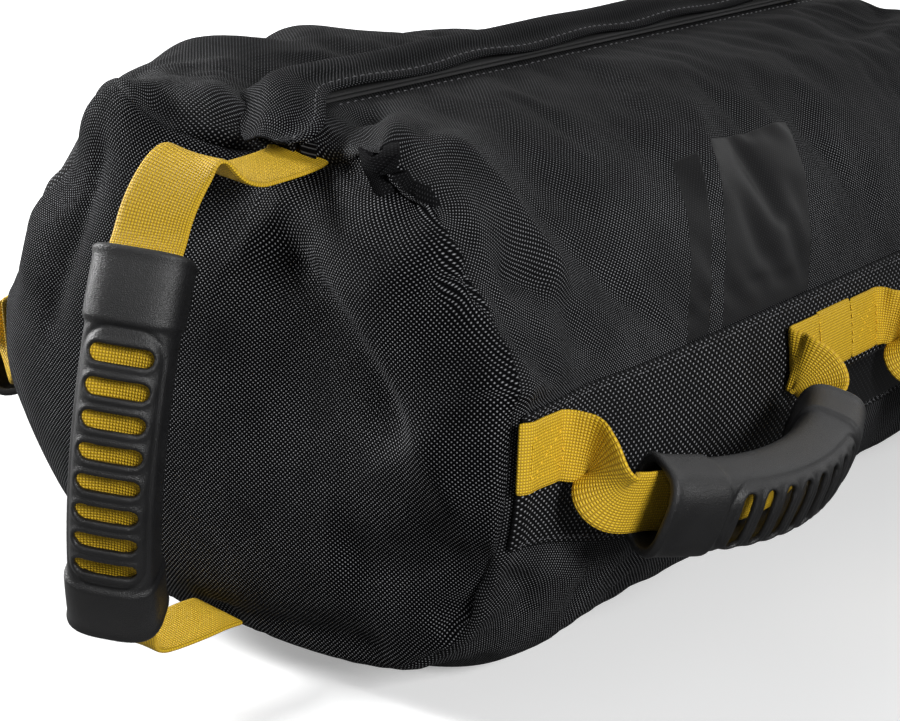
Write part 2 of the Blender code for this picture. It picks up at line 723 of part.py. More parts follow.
def slot_mesh(turn):
    """A cutter with round ends, standing on the arc at one slot."""
    bm = bmesh.new()
    sides = 6
    straight = (SLOT_LENGTH - SLOT_WIDTH) / 2
    radius = SLOT_WIDTH / 2
    corners = []
    for k in range(sides):
        angle = 2 * pi * k / sides
        shift = straight if cos(angle) > 0 else -straight
        corners.append((radius * sin(angle), shift + radius * cos(angle)))
    low = GRIP_RADIUS + WEBBING_THICKNESS
    high = GRIP_RADIUS + GRIP_DEPTH / 2 + CUT_OVERRUN
    face = bm.faces.new([bm.verts.new((x, low, z)) for x, z in corners])
    made = bmesh.ops.extrude_face_region(bm, geom=[face])
    moved = [v for v in made["geom"] if isinstance(v, bmesh.types.BMVert)]
    bmesh.ops.translate(bm, verts=moved, vec=(0, high - low, 0))
    bmesh.ops.rotate(bm, verts=bm.verts, cent=(0, 0, 0), matrix=Matrix.Rotation(-turn, 3, "Z"))
    return mesh_from(bm, "slot")


def bezier(points, t):
    a, b, c, d = points
    s = 1 - t
    return a * s**3 + b * (3 * s * s * t) + c * (3 * s * t * t) + d * t**3


def loop_route(half_span, stand_off, root_twist):
    """The webbing's middle line, from one root to the other.

    It leaves the first root square to the bag, runs through the grip on the grip's own arc,
    as far as the grip can slide, and comes back to the second root. Each place is its point and
    its share of the root's twist.
    """
    centre = Vector((0, stand_off - GRIP_RADIUS * cos(GRIP_HALF_TURN), 0))
    half_turn = GRIP_HALF_TURN + GRIP_SLIDE
    mouth = arc_place(-half_turn, 0, 0) + centre
    slope = Vector((cos(half_turn), sin(half_turn), 0))
    root = Vector((-half_span, 0, 0))
    lead = Matrix.Rotation(root_twist, 3, "X") @ Vector((0, stand_off * ROOT_PULL_SHARE, 0))
    shape = (root, root + lead, mouth - slope * stand_off * MOUTH_PULL_SHARE, mouth)
    rise = [(bezier(shape, k / RISE_STEPS), 1 - k / RISE_STEPS) for k in range(RISE_STEPS)]
    turns = spread(-half_turn, half_turn, half_turn / ARC_HALF_STEPS)
    arc = [(arc_place(turn, 0, 0) + centre, 0) for turn in turns]
    fall = [(Vector((-p.x, p.y, p.z)), twist) for p, twist in reversed(rise)]
    return rise + arc + fall, centre


def webbing_loop(name, route, root_twist, matrix, parent):
    """A strip of webbing along a route, turned by the root's twist at its two ends."""
    points = [point for point, _ in route]
    sides = (-1, 1)

    def place(row, column, layer):
        before = points[max(row - 1, 0)]
        after = points[min(row + 1, len(points) - 1)]
        ahead = (after - before).normalized()
        turn = Matrix.Rotation(root_twist * route[row][1], 3, "X")
        if row in (0, len(points) - 1):
            ahead = turn @ Vector((0, 1 if row == 0 else -1, 0))
        wide = turn @ Vector((0, 0, 1))
        wide = (wide - ahead * wide.dot(ahead)).normalized()
        out = ahead.cross(wide)
        shift = (0.5 - layer) * WEBBING_THICKNESS
        return points[row] + wide * sides[column] * WEBBING_WIDTH / 2 + out * shift

    bm = slab(len(points), len(sides), place)
    finish_object(name, mesh_from(bm, name), "yellow_webbing", parent, matrix)


def handle(name, roots, out, stand_off, root_twist, grip):
    """A loop between two roots, hinged on the line through them, and its grip."""
    first, second = roots
    frame = axes(second - first, out, (first + second) / 2)
    half_span = (second - first).length / 2 - ROOT_INSET
    swing = joint_empty(f"{name}_swing", frame)
    route, centre = loop_route(half_span, stand_off, root_twist)
    webbing_loop(f"{name}_webbing", route, root_twist, frame, swing)
    place = frame @ Matrix.Translation(centre)
    finish_object(f"{name}_grip", grip, "grip_rubber", swing, place)


def axes(along, out, origin):
    """A frame from its X direction and roughly its Y direction."""
    along = along.normalized()
    out = (out - along * out.dot(along)).normalized()
    third = along.cross(out)
    turned = Matrix((along, out, third)).transposed().to_4x4()
    return Matrix.Translation(origin) @ turned


def side_handles(side_name, back, grip):
    """Two handles on one side, drooping as the webbing lets them."""
    sign = 1 if back else -1
    girth = GIRTH - STRAP_GIRTH if back else STRAP_GIRTH
    out = Vector((0, sign * cos(SIDE_HANDLE_DROOP), -sin(SIDE_HANDLE_DROOP)))
    for end_name, side in (("near", -1), ("far", 1)):
        places = sorted((side * SIDE_ROOT_OUTER, side * SIDE_ROOT_INNER), reverse=back)
        roots = [lifted(x, girth, STRAP_LIFT + ROOT_LIFT) for x in places]
        handle(f"side_handle_{side_name}_{end_name}", roots, out, SIDE_STAND_OFF,
               -SIDE_HANDLE_DROOP, grip)


def end_roots(side):
    """The places on an end's seam where its handle is sewn in: top and bottom."""
    top = lifted(side * HALF_LENGTH, 0, -FABRIC_THICKNESS)
    bottom = lifted(side * HALF_LENGTH, GIRTH / 2, -FABRIC_THICKNESS)
    top.z -= END_ROOT_INSET_TOP
    bottom.z += END_ROOT_INSET_BOTTOM
    return top, bottom


def end_handle(end_name, side, grip):
    top, bottom = end_roots(side)
    outermost = max(side * top.x, side * bottom.x) + WEBBING_THICKNESS
    top.x = bottom.x = side * outermost
    handle(f"end_handle_{end_name}", (bottom, top), Vector((side, 0, 0)), END_STAND_OFF, 0, grip)


def end_tabs(end_name, side):
    """The end handle's webbing where it is sewn in behind the end panel."""
    xs = between(STATIONS, *sorted((side * SEAM_TAPE_START, side * SEAM_TAPE_STOP)))
    half = WEBBING_WIDTH / 2
    layers = FABRIC_THICKNESS + GAP * 2 + max(ZIP_TAPE_THICKNESS, SEAM_TAPE_THICKNESS)
    lift = -layers - WEBBING_THICKNESS
    for place_name, girth in (("top", 0), ("bottom", GIRTH / 2)):
        marks = [girth - half, girth - half / 2, girth, girth + half / 2, girth + half]
        skin_sheet(f"end_tab_{end_name}_{place_name}", xs, marks, lift, WEBBING_THICKNESS,
                   "yellow_webbing")


def filler_ring(x, inset, shrink, back, heights):
    """A closed ring of a filler at a place: the bag's inner side and a wall near the middle.

    The heights are those of its flat bottom and of its top.
    """
    sign = 1 if back else -1
    low, high = heights
    middle = Vector((x, sign * HALF_WIDTH / 2, low))
    ring = []
    for share in FILLER_SIDE_SHARES + FILLER_BASE_SHARES:
        girth = GIRTH / 2 * share
        point = lifted(x, GIRTH - girth if back else girth, -inset)
        point.x = x
        if share in FILLER_BASE_SHARES and shrink == FILLER_FULL_SHARE:
            point.z += low - inset
        ring.append(point)
    wall = sign * (inset - FABRIC_THICKNESS - FILLER_CLEARANCE)
    ring += [Vector((x, wall, BAG_HEIGHT * share)) for share in WALL_SHARES]
    ring = [middle.lerp(point, shrink) for point in ring]
    for point in ring:
        point.z = min(max(point.z, low), high)
    return ring


def lofted(rings):
    """A solid through closed rings, capped at both ends."""
    bm = bmesh.new()
    loops = []
    for ring in rings:
        verts = [bm.verts.new(p) for p in ring]
        loops.append(verts)
    count = len(rings[0])
    for one, two in zip(loops, loops[1:]):
        for k in range(count):
            after = (k + 1) % count
            bm.faces.new((one[k], one[after], two[after], two[k]))
    bm.faces.new(reversed(loops[0]))
    bm.faces.new(loops[-1])
    bmesh.ops.triangulate(bm, faces=bm.faces)
    return bm


def filler_rings(low, high, inset, back, heights):
    """Rings along a filler, drawn in at both ends as a stuffed bag's are."""
    start = [(low + FILLER_ROUNDING * x, size) for x, size in FILLER_END_SHARES]
    stop = [(high - FILLER_ROUNDING * x, size) for x, size in reversed(FILLER_END_SHARES)]
    return [filler_ring(x, inset, size, back, heights) for x, size in start + stop]


def filler(index, low, high, back):
    """A filler bag with sand in it and a closure in its outer end."""
    name = f"filler_bag_{index}"
    inset = FABRIC_THICKNESS + GAP + FILLER_CLEARANCE
    base = FABRIC_THICKNESS + GAP
    ceiling = TEETH_BASE - FABRIC_THICKNESS - WEBBING_THICKNESS * 2
    outer = lofted(filler_rings(low, high, inset, back, (base, ceiling)))
    bag = finish_object(name, mesh_from(outer, name), "filler_cloth")
    cloth = FILLER_CLOTH
    inside = (base + cloth, ceiling - cloth)
    hollow = lofted(filler_rings(low + cloth, high - cloth, inset + cloth, back, inside))
    cavity = finish_object(f"cavity_{index}", mesh_from(hollow, "cavity"), "filler_cloth")
    boolean(bag, cavity, "DIFFERENCE")
    outward = low < 0
    end = low if outward else high
    y = (1 if back else -1) * HALF_WIDTH / 2
    reach = (end - CUT_OVERRUN, end + CLOSURE_LENGTH) if outward else (
        end - CLOSURE_LENGTH, end + CUT_OVERRUN)
    half_w, half_h = CLOSURE_WIDTH / 2, CLOSURE_HEIGHT / 2
    mouth = block((reach[0], y - half_w, CLOSURE_LEVEL - half_h),
                  (reach[1], y + half_w, CLOSURE_LEVEL + half_h))
    cutter = finish_object(f"mouth_{index}", mesh_from(mouth, "mouth"), "filler_cloth")
    boolean(bag, cutter, "DIFFERENCE")
    inner = (end - GAP, end + CLOSURE_LENGTH) if outward else (end - CLOSURE_LENGTH, end + GAP)
    strip = block((inner[0], y - half_w + GAP, CLOSURE_LEVEL - half_h + GAP),
                  (inner[1], y + half_w - GAP, CLOSURE_LEVEL + half_h - GAP))
    strip_name = f"filler_closure_{index}"
    finish_object(strip_name, mesh_from(strip, strip_name), "hook_tape")
    room = inset + cloth + SAND_CLEARANCE
    heights = (base + cloth + GAP, SAND_LEVEL)
    sand = lofted(filler_rings(low + cloth + GAP, high - cloth - GAP, room, back, heights))
    sand_name = f"filler_sand_{index}"
    finish_object(sand_name, mesh_from(sand, sand_name), "sand")


def fillers():
    middle = (FILLER_NEAR_END + FILLER_FAR_END) / 2
    spans = ((FILLER_NEAR_END, middle - GAP / 2), (middle + GAP / 2, FILLER_FAR_END))
    index = 0
    for low, high in spans:
        for back in (False, True):
            index += 1
            filler(index, low, high, back)


def build():
    clear_scene()
    body_panel()
    zip_tapes()
    zip_teeth("zip_teeth_front", -1)
    zip_teeth("zip_teeth_back", 1)
    zip_stops()
    slide = joint_empty("zip_slide", Matrix.Translation((SLIDER_MIDDLE, 0, SLIDER_BASE)))
    zip_slider(slide)
    zip_pull(slide)
    hinge = joint_empty("flap_hinge", Matrix.Translation((0, FLAP_BACK, FLAP_AXIS_HEIGHT)))
    flap(hinge)
    hook_strips(hinge)
    grip = grip_mesh()
    for side_name, back in (("front", False), ("back", True)):
        side_band(side_name, back)
        side_straps(side_name, back)
        side_handles(side_name, back, grip)
    for end_name, side in (("near", -1), ("far", 1)):
        end_panel(f"end_panel_{end_name}", side)
        seam_tape(f"end_seam_tape_{end_name}", side)
        end_tabs(end_name, side)
        end_handle(end_name, side, grip)
    fillers()


build()
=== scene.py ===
"""Looks for the sandbag trainer: crumpled fabric, webbing, moulded grips, the zip and the stage.

Metres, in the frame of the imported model: +X runs along the bag to its far end, -Y is its front,
and the floor is at z = 0. A place on the bag is given by its distance along X and by its distance
round the girth, from the zip over the front to the bottom.
"""

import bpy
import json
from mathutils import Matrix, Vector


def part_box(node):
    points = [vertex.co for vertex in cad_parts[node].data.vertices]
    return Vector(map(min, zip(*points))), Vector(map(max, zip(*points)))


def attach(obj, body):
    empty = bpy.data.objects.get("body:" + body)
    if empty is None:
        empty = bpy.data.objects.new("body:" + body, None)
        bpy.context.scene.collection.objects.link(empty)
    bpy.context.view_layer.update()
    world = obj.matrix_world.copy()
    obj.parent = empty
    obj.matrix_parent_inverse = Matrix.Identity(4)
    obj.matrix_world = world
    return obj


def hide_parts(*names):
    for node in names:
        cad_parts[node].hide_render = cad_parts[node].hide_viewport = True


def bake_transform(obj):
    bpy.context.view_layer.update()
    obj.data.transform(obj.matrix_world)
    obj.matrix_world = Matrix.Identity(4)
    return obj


bl_info = {
    "name": "Sandbag trainer",
    "version": (1, 0, 0),
    "blender": (4, 5, 0),
    "location": "View3D > Sidebar > Sandbag",
    "description": "Builds the fabric, webbing, grips and zip of a sandbag trainer",
    "category": "Object",
}

import json
from math import asin, cos, pi, radians, sin, sqrt

import bmesh
import bpy
import numpy as np
from mathutils import Matrix, Vector, noise
from mathutils.bvhtree import BVHTree

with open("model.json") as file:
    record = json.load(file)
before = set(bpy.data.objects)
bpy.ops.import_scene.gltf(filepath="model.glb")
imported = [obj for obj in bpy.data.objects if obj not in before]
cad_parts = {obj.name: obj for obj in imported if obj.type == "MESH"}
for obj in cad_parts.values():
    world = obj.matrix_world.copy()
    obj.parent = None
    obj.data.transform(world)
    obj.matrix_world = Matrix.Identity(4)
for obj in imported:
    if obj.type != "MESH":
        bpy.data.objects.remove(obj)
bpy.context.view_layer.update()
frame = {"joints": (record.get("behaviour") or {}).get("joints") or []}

JOINTS = {joint["name"]: joint for joint in frame["joints"]}
MM = 0.001
MERGE = 0.01 * MM

# The bag's form, from the frame and the same outlines as its solids
HALF_LENGTH = 230 * MM
HALF_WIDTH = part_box("body_panel")[1].y
BAG_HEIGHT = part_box("body_panel")[1].z
SEAM_SETBACK = 36 * MM
CRUMPLE_START = 110 * MM
BASE_END = HALF_LENGTH - 66 * MM
FAR_END_LIFT = 10 * MM
END_RISE = 9 * MM
ZIP_GAP = 14 * MM
ZIP_NEAR = -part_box("zip_teeth_front")[0].x
ZIP_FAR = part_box("zip_teeth_front")[1].x
ZIP_CLEAR = 4.8 * MM
ZIP_SHUT = 8 * MM
ZIP_DRAW = 40 * MM
FABRIC = 1.4 * MM
FAR_END_SHARE = 0.40
END_PINCH_SHARE = 0.97
MID_SHARES = (
    (0.0, 0.0, 1.0), (0.0, -0.36, 0.985), (0.0, -0.68, 0.89), (0.0, -0.90, 0.70),
    (0.0, -1.0, 0.47), (0.0, -0.95, 0.25), (0.0, -0.78, 0.08), (0.0, -0.50, 0.0),
    (0.0, 0.0, 0.0), (0.0, 0.50, 0.0), (0.0, 0.78, 0.08), (0.0, 0.95, 0.25),
    (0.0, 1.0, 0.47), (0.0, 0.90, 0.70), (0.0, 0.68, 0.89), (0.0, 0.36, 0.985),
)
END_SHARES = (
    (0.05, -0.20, 0.955), (0.25, -0.56, 0.985), (0.35, -0.80, 0.85), (0.30, -0.97, 0.68),
    (0.15, -1.0, 0.52), (0.20, -0.95, 0.34), (0.35, -0.80, 0.17), (0.35, -0.50, 0.075),
    (0.50, 0.0, 0.06), (0.85, 0.40, 0.07), (1.0, 0.62, 0.14), (0.92, 0.82, 0.29),
    (0.75, 0.94, 0.50), (0.55, 0.88, 0.71), (0.35, 0.56, 0.95), (0.12, 0.20, 0.985),
)

# Beyond the zip's ends its gap is drawn shut, by a share. The ends' crumpled form starts at the
# zip's ends on top, nearer the middle at the sides, and between the two underneath.
END_SHUT_SHARE = 0.94
SIDE_SPREAD = 2.5
UNDER_SPREAD = 1.5

# How finely the skin is divided, and how its ends are domed
OUTLINE_STEPS = 12
DOME_ROUNDNESS = 0.7
DOME_SHARE = 0.95
ROWS = 96
COLUMNS = 252
ZIP_COLUMNS = 4
ROW_CROWDING = 0.4
CAP = (COLUMNS + ZIP_COLUMNS) // 4

# Webbing and bands. A handle's loop leaves its roots, meets the grip's mouths and runs through.
BAND_WIDTH = 64 * MM
BAND_HEIGHT = 88 * MM
BAND_THICKNESS = 1.8 * MM
STRAP_HEIGHT = 99 * MM
WEBBING_WIDTH = 25 * MM
WEBBING_THICKNESS = 1.8 * MM
STRAP_LIFT = 2.4 * MM
ROOT_OUTER = HALF_LENGTH - 28 * MM
ROOT_INNER = ROOT_OUTER - 162 * MM
ROOT_INSET = 2.6 * MM
TAB_LENGTH = 26 * MM
TAB_DEPTH = 5 * MM
OVERLAP = 26 * MM
SIDE_DROOP = radians(39)
SIDE_TWIST = radians(-19)
SIDE_STAND_OFF = 31 * MM
END_TWIST = radians(28)
TOP_FOLD_RISE = 9 * MM
TOP_FOLD_INSET = 7 * MM
SIDE_STRAP_DEPTH = 3.2 * MM
MOUTH_LEAD = radians(3.5)
END_STAND_OFF = 46 * MM

# An end handle's webbing hangs from the top of the end seam to its bottom, turns up at its edges
# inside the grip, and is tucked in behind the seam
END_ROOT_DROP = 3 * MM
END_ROOT_RISE = 8 * MM
END_STRAP_RISE = 6.3 * MM
END_TAB_START = 20 * MM
END_TAB_STOP = 8 * MM
CUP_DEPTH = 2.6 * MM
CUP_END = 4 * MM
CUP_EASE = 10 * MM
SEAM_STEP = 2 * MM
SEAM_DIP = 1 * MM
TUCK_TOP = 12 * MM
TUCK_BOTTOM = 9 * MM

# A side handle's webbing lies flat on the band beyond its two roots
TAB_GAP = 3 * MM
TAIL_GAP = 2 * MM
PROBE = 1 * MM
WEBBING_STEP = 2.4 * MM
ROOT_LEAD_SHARE = 0.75
MOUTH_LEAD_SHARE = 0.45
MOUTH_EASE = radians(7)

# Flap. Its edge waves by sums of waves: radians for each metre, their start and their share.
FLAP_BACK = 20 * MM
FLAP_CLOTH = 1.2 * MM
FLAP_TIP_REACH = 2 * MM
FLAP_BEND = 42 * MM
FLAP_SWAY = 22 * MM
FLAP_DROOP = 11 * MM
FLAP_DROOP_POWER = 1.6
FLAP_ROWS = 150
FLAP_WAVE = 1.1 * MM
FLAP_WAVES = ((61, 0.6, 0.6), (137, 0.0, 0.4))
FLAP_RIPPLE = 0.8 * MM
FLAP_RIPPLE_TURNS = 83
FLAP_RIPPLE_PHASE = 2.0
FLAP_RIPPLE_START = 2 * MM
FLAP_TIP_ROUND = 24 * MM
FLAP_TIP_PLACE = 2 * MM
FLAP_TIP_NARROW_SHARE = 0.55
FLAP_TIP_CLOSE = 9 * MM
FLAP_TIP_RISE = 3.2 * MM
FLAP_TIP_CLOSE_SHARE = 0.75
FLAP_CLEAR = 1.44 * MM
HEM_RISE = 5.4 * MM
HEM_STITCH = 16 * MM

# The flap's section from its sewn edge over the slider to its hem, which rolls back under: the
# place across, the level that it follows, and how far above that it is
FLAP_SECTION = (
    (FLAP_BACK, "sewn", 1.2 * MM), (13 * MM, "sewn", 5.2 * MM), (7 * MM, "crest", -0.6 * MM),
    (1 * MM, "crest", 0.0), (-5 * MM, "crest", -1.2 * MM), (-10 * MM, "hem", 1.2 * MM),
    (-15 * MM, "hem", 0.6 * MM), (-18.5 * MM, "hem", 0.4 * MM), (-20.6 * MM, "hem", -0.8 * MM),
    (-19.2 * MM, "hem", -2.0 * MM), (-14 * MM, "hem", -1.7 * MM), (-10.5 * MM, "hem", -1.2 * MM),
)

# Zip
STRIP_GAP = 0.1 * MM
TAPE_WIDTH = 14 * MM
TAPE_EDGE = 0.4 * MM
TAPE_THICKNESS = 0.8 * MM
TOOTH_PITCH = 2.5 * MM
TOOTH_TIP_SHARE = 0.30
TOOTH_WAIST_SHARE = 0.20
TOOTH_ROUND = 0.25 * MM
METAL_MERGE = 0.002 * MM
METAL_ROUND = 0.28 * MM
FLAT_ANGLE = radians(2)
SHARP_ANGLE = radians(35)

# Inner bags, and the tape that binds the raw edges inside the end seams
FILLER_COUNT = 4
FILLER_VOXEL = 5 * MM
PILLOW_DENT = 2.2 * MM
SAND_DENT = 1.2 * MM
DENT_SHIFT = 0.6
DENTS_IN_METRE = 34
CLOSURE_WAVE = 0.5 * MM
CLOSURE_TURNS = 190
BINDING_WIDTH = 14 * MM
BINDING_DEPTH = 5.5 * MM
BINDING_THICKNESS = 0.8 * MM

# Stitches: their length, their pitch and the thread's radius
STITCH = (3.2 * MM, 4.2 * MM, 0.32 * MM)
WEBBING_STITCH = (2.6 * MM, 3.4 * MM, 0.3 * MM)
STITCH_SUNK_SHARE = 0.7
STITCH_LIFT = 0.1 * MM
HEM_STITCH_LIFT = 0.2 * MM
SEAM_MARGIN = 6 * MM
EDGE_MARGIN = 3 * MM
ZIP_ROW = ZIP_GAP / 2 + EDGE_MARGIN
FLAP_ROW = FLAP_BACK + EDGE_MARGIN
SECOND_ZIP_ROW = FLAP_BACK + 4 * MM
BOX_GAP = 4 * MM
BOX_END = 26 * MM

# Grips
GRIP_CHORD = 130 * MM
GRIP_SAGITTA = 17 * MM
GRIP_WIDTH = 30.5 * MM
GRIP_DEPTH = 24.0 * MM
GRIP_WALL = 1.8 * MM
GRIP_COLLAR = 23 * MM
GRIP_PROUD = 1.2 * MM
SLOT_COUNT = 8
SLOT_PITCH = 10.2 * MM
SLOT_LENGTH = 21.5 * MM
SLOT_WIDTH = 5.8 * MM
GRIP_CORNER_SHARE = 0.62
GRIP_VOXEL = 0.6 * MM
MOUTH_FLARE_SHARE = 0.4
MOUTH_DEPTH = 3 * MM
COLLAR_BACK = 1 * MM
COLLAR_EASE = 2.2 * MM
ZONE_END = 1.6 * MM
ZONE_SIDE = 1.5 * MM
ZONE_CORNER = 7 * MM
SLOT_SIDES = 24
FRONT_SPREAD = 3
GRIP_RADIUS = (GRIP_CHORD**2 / 4 + GRIP_SAGITTA**2) / (2 * GRIP_SAGITTA)
GRIP_HALF_TURN = asin(GRIP_CHORD / 2 / GRIP_RADIUS)

# Rims and grooves of a grip: their height, and their place and reach from a mouth, from a
# slot's edge or from the outline round the slots
MOUTH_LIP = (0.9 * MM, 0.0, 2.4 * MM)
MOUTH_EDGE = (-1.3 * MM, 0.0, 0.7 * MM)
SLOT_RIM = (0.75 * MM, 0.9 * MM, 0.9 * MM)
ZONE_GROOVE = (-1.0 * MM, 1.2 * MM, 0.65 * MM)

HANDLES = (
    "side_handle_front_near", "side_handle_front_far", "side_handle_back_near",
    "side_handle_back_far", "end_handle_near", "end_handle_far",
)

# The camera of the photograph, whose frame is 900 by 721 pixels
IMAGE_WIDTH = 900
IMAGE_HEIGHT = 721
FOCAL_PIXELS = 2242.2
SENSOR_WIDTH_MM = 36.0
EYE = Vector((-0.7908, -0.5172, 0.3435))
AZIMUTH = radians(54.1)
ELEVATION = radians(16.4)

# Finishes. Painted shade: the tops of the threads are drawn fainter on the bag's top and its far
# end, where less light falls: an axis, the two places between which the painted shade grows, and
# the share of the tops that it takes away. The first two hold together, so that the top is shaded
# only behind the near end.
PAINTED_SHADE_FADES = (
    ("Z", 165 * MM, 202 * MM, 0.62),
    ("X", -215 * MM, -130 * MM, 1.0),
    ("X", -80 * MM, 120 * MM, 0.26),
)
PATCH_SIZE = 22.22 * MM
PATCH_GAIN = 1.3
PATCH_LEAST = 0.32
TOP_SHARPNESS = 3.4
UNDER_SHARE = 0.55
WEFT_SHARE = 1.1
BAND_WEFT_SHARE = 0.8
FABRIC_RELIEF = 0.22 * MM
BAND_RELIEF = 0.45 * MM
TAPE_RELIEF = 0.1 * MM
TAPE_PITCH = 0.9 * MM
CLOTH_ROUGHNESS = 0.68
CLOTH_GLOSS = 0.02
FILM_COLOUR = "101011"
FILM_COVER_SHARE = 0.93
FILM_FILL_SHARE = 0.9
FILM_HEIGHT = 1.2
FILM_ROUGHNESS = 0.32
FILM_GLOSS = 0.06
WEBBING_RELIEF = 0.35 * MM
WEBBING_UNDER_SHARE = 0.75
WEBBING_FULLNESS = 0.7
WEAR_SIZE = 16.67 * MM
WEAR_SHARE = 0.25
GRIP_GRAIN = 0.38462 * MM
GRIP_PATCH = 11.11 * MM
GRIP_RELIEF = 0.24 * MM

# The stage: each lamp's name, place, side and power in watts
LAMPS = (
    ("front_box", (-0.66, -1.50, 0.74), 0.45, 26.0),
    ("left_box", (-0.66, 1.50, 0.80), 0.45, 50.0),
    ("top_box", (0.3, 0.2, 1.8), 1.4, 1.5),
)
WHITE = (1.0, 1.0, 1.0, 1.0)
FLOOR_HALF = 12.0
GLOW_START = 250 * MM
GLOW_END = 900 * MM
GLOW_SHARE = 0.34
CLIP_START = 50 * MM
CLIP_END = 30.0


class SandbagSizes(bpy.types.PropertyGroup):
    """Sizes that someone who dresses the bag may want to change."""

    crumple: bpy.props.FloatProperty(
        name="Crumple", description="Share of the modelled depth of the folds", default=1.0,
        min=0.0, max=1.5, subtype="FACTOR")
    slack: bpy.props.FloatProperty(
        name="Slack", description="Spare cloth that the simulation gathers into wrinkles",
        default=0.018, min=0.0, max=0.05, subtype="FACTOR")
    weave_pitch: bpy.props.FloatProperty(
        name="Weave pitch", description="Distance between threads of the bag's fabric",
        default=1.6 * MM, unit="LENGTH")
    webbing_pitch: bpy.props.FloatProperty(
        name="Webbing pitch", description="Distance between ribs of the yellow webbing",
        default=2.1 * MM, unit="LENGTH")
    band_pitch: bpy.props.FloatProperty(
        name="Band pitch", description="Distance between ribs of the wide black webbing",
        default=3.4 * MM, unit="LENGTH")


class SandbagColours(bpy.types.PropertyGroup):
    """Colours of the bag's materials, as sRGB hex values."""

    fabric: bpy.props.StringProperty(
        name="Fabric", description="Dark threads of the bag's fabric", default="040405")
    # Painted glint: the tops of the fabric's threads are drawn light, standing in for their
    # shine.
    fabric_painted_glint: bpy.props.StringProperty(
        name="Fabric highlight", description="Tops of the fabric's threads", default="A4A5A8")
    webbing: bpy.props.StringProperty(
        name="Webbing", description="Tops of the yellow webbing's threads", default="F6CD20")
    # Painted shade: the hollows between the yellow threads are drawn in a darker yellow.
    webbing_hollow_shade: bpy.props.StringProperty(
        name="Webbing shade", description="Between the yellow threads", default="966E0C")
    grip: bpy.props.StringProperty(
        name="Grip", description="Moulded grips", default="0E0E0F")


def linear(code):
    """The linear colour of an sRGB hex value."""
    parts = [int(code[k:k + 2], 16) / 255 for k in (0, 2, 4)]
    return [c / 12.92 if c <= 0.04045 else ((c + 0.055) / 1.055) ** 2.4 for c in parts] + [1.0]


def fill(tree, node, inputs):
    """Set a node's inputs to values, or link them to sockets or to nodes' first outputs."""
    for key, value in inputs.items():
        if isinstance(value, bpy.types.Node):
            value = next(socket for socket in value.outputs if socket.enabled)
        if isinstance(value, bpy.types.NodeSocket):
            tree.links.new(value, node.inputs[key])
        else:
            node.inputs[key].default_value = value


def add(tree, kind, inputs=None, **settings):
    """A new shader node with its settings and its inputs."""
    made = tree.nodes.new(f"ShaderNode{kind}")
    for key, value in settings.items():
        setattr(made, key, value)
    fill(tree, made, inputs or {})
    return made


def new_material(name, roughness, metallic=0.0):
    """A material with a Principled shader, its tree and that shader."""
    made = bpy.data.materials.new(name)
    made.use_nodes = True
    shader = made.node_tree.nodes["Principled BSDF"]
    shader.inputs["Roughness"].default_value = roughness
    shader.inputs["Metallic"].default_value = metallic
    return made, made.node_tree, shader


def dress(tree, shader, colour, height, depth):
    """Give a shader its colour and its surface's relief."""
    relief = add(tree, "Bump", {"Height": height, "Distance": depth, "Strength": 1.0})
    fill(tree, shader, {"Base Color": colour, "Normal": relief})


def threads(tree, across, along):
    """A plain weave on the piece's own UV map, in metres.

    Gives the height of the threads that run over, and of those that run under.
    """
    parts = add(tree, "SeparateXYZ", {0: add(tree, "UVMap", uv_map="cloth")})
    both = 1.0
    for key, pitch in (("X", along), ("Y", across)):
        turned = add(tree, "Math", {0: parts.outputs[key], 1: 2 * pi / pitch},
                     operation="MULTIPLY")
        wave = add(tree, "Math", {0: turned}, operation="SINE")
        both = add(tree, "Math", {0: wave, 1: both}, operation="MULTIPLY")
    over = add(tree, "Math", {0: both, 1: 0.0}, operation="MAXIMUM")
    other = add(tree, "Math", {0: both, 1: -1.0}, operation="MULTIPLY")
    under = add(tree, "Math", {0: other, 1: 0.0}, operation="MAXIMUM")
    return over, under


def clouds(tree, grain, detail=3.0):
    """Soft variation in the object's own coordinates, in patches of about a grain's size."""
    place = add(tree, "TexCoord").outputs["Object"]
    return add(tree, "TexNoise", {"Vector": place, "Scale": 1 / grain, "Detail": detail})


def film_mask(tree, films):
    """1 on the films and 0 beside them: each is a stretch of slanted X and one of girth."""
    parts = add(tree, "SeparateXYZ", {0: add(tree, "UVMap", uv_map="cloth")})
    down = add(tree, "Math", {0: parts.outputs["Y"], 1: FILM_TOP}, operation="SUBTRACT")
    slanted = add(tree, "Math", {0: down, 1: FILM_SLANT, 2: parts.outputs["X"]},
                  operation="MULTIPLY_ADD")
    mask = 0.0
    for spans in films:
        film = 1.0
        for value, (low, high) in zip((slanted, parts.outputs["Y"]), spans):
            for edge, soft in ((low, FILM_EDGE), (high, -FILM_EDGE)):
                within = add(tree, "MapRange", {"Value": value, "From Min": edge - soft,
                                                "From Max": edge + soft})
                film = add(tree, "Math", {0: within, 1: film}, operation="MULTIPLY")
        mask = add(tree, "Math", {0: film, 1: mask}, operation="MAXIMUM")
    return mask


def painted_glint_and_shade_share(tree):
    """How far the thread tops show: they fade under painted shade on the top and far end, and in
    patches.
    """
    place = add(tree, "TexCoord").outputs["Object"]
    parts = add(tree, "SeparateXYZ", {0: place})
    # Painted shade: the thread tops are dimmed on the bag's top behind the near end, and towards
    # the far end.
    high, behind, far = (
        add(tree, "MapRange", {"Value": parts.outputs[axis], "From Min": low, "From Max": full,
                               "To Max": share})
        for axis, low, full, share in PAINTED_SHADE_FADES)
    painted_shade = add(tree, "Math", {0: high, 1: behind, 2: far}, operation="MULTIPLY_ADD")
    left = add(tree, "Math", {0: 1.0, 1: painted_shade}, operation="SUBTRACT")
    patches = add(tree, "Math", {0: clouds(tree, PATCH_SIZE), 1: PATCH_GAIN, 2: PATCH_LEAST},
                  operation="MULTIPLY_ADD")
    return add(tree, "Math", {0: patches, 1: left}, operation="MULTIPLY")


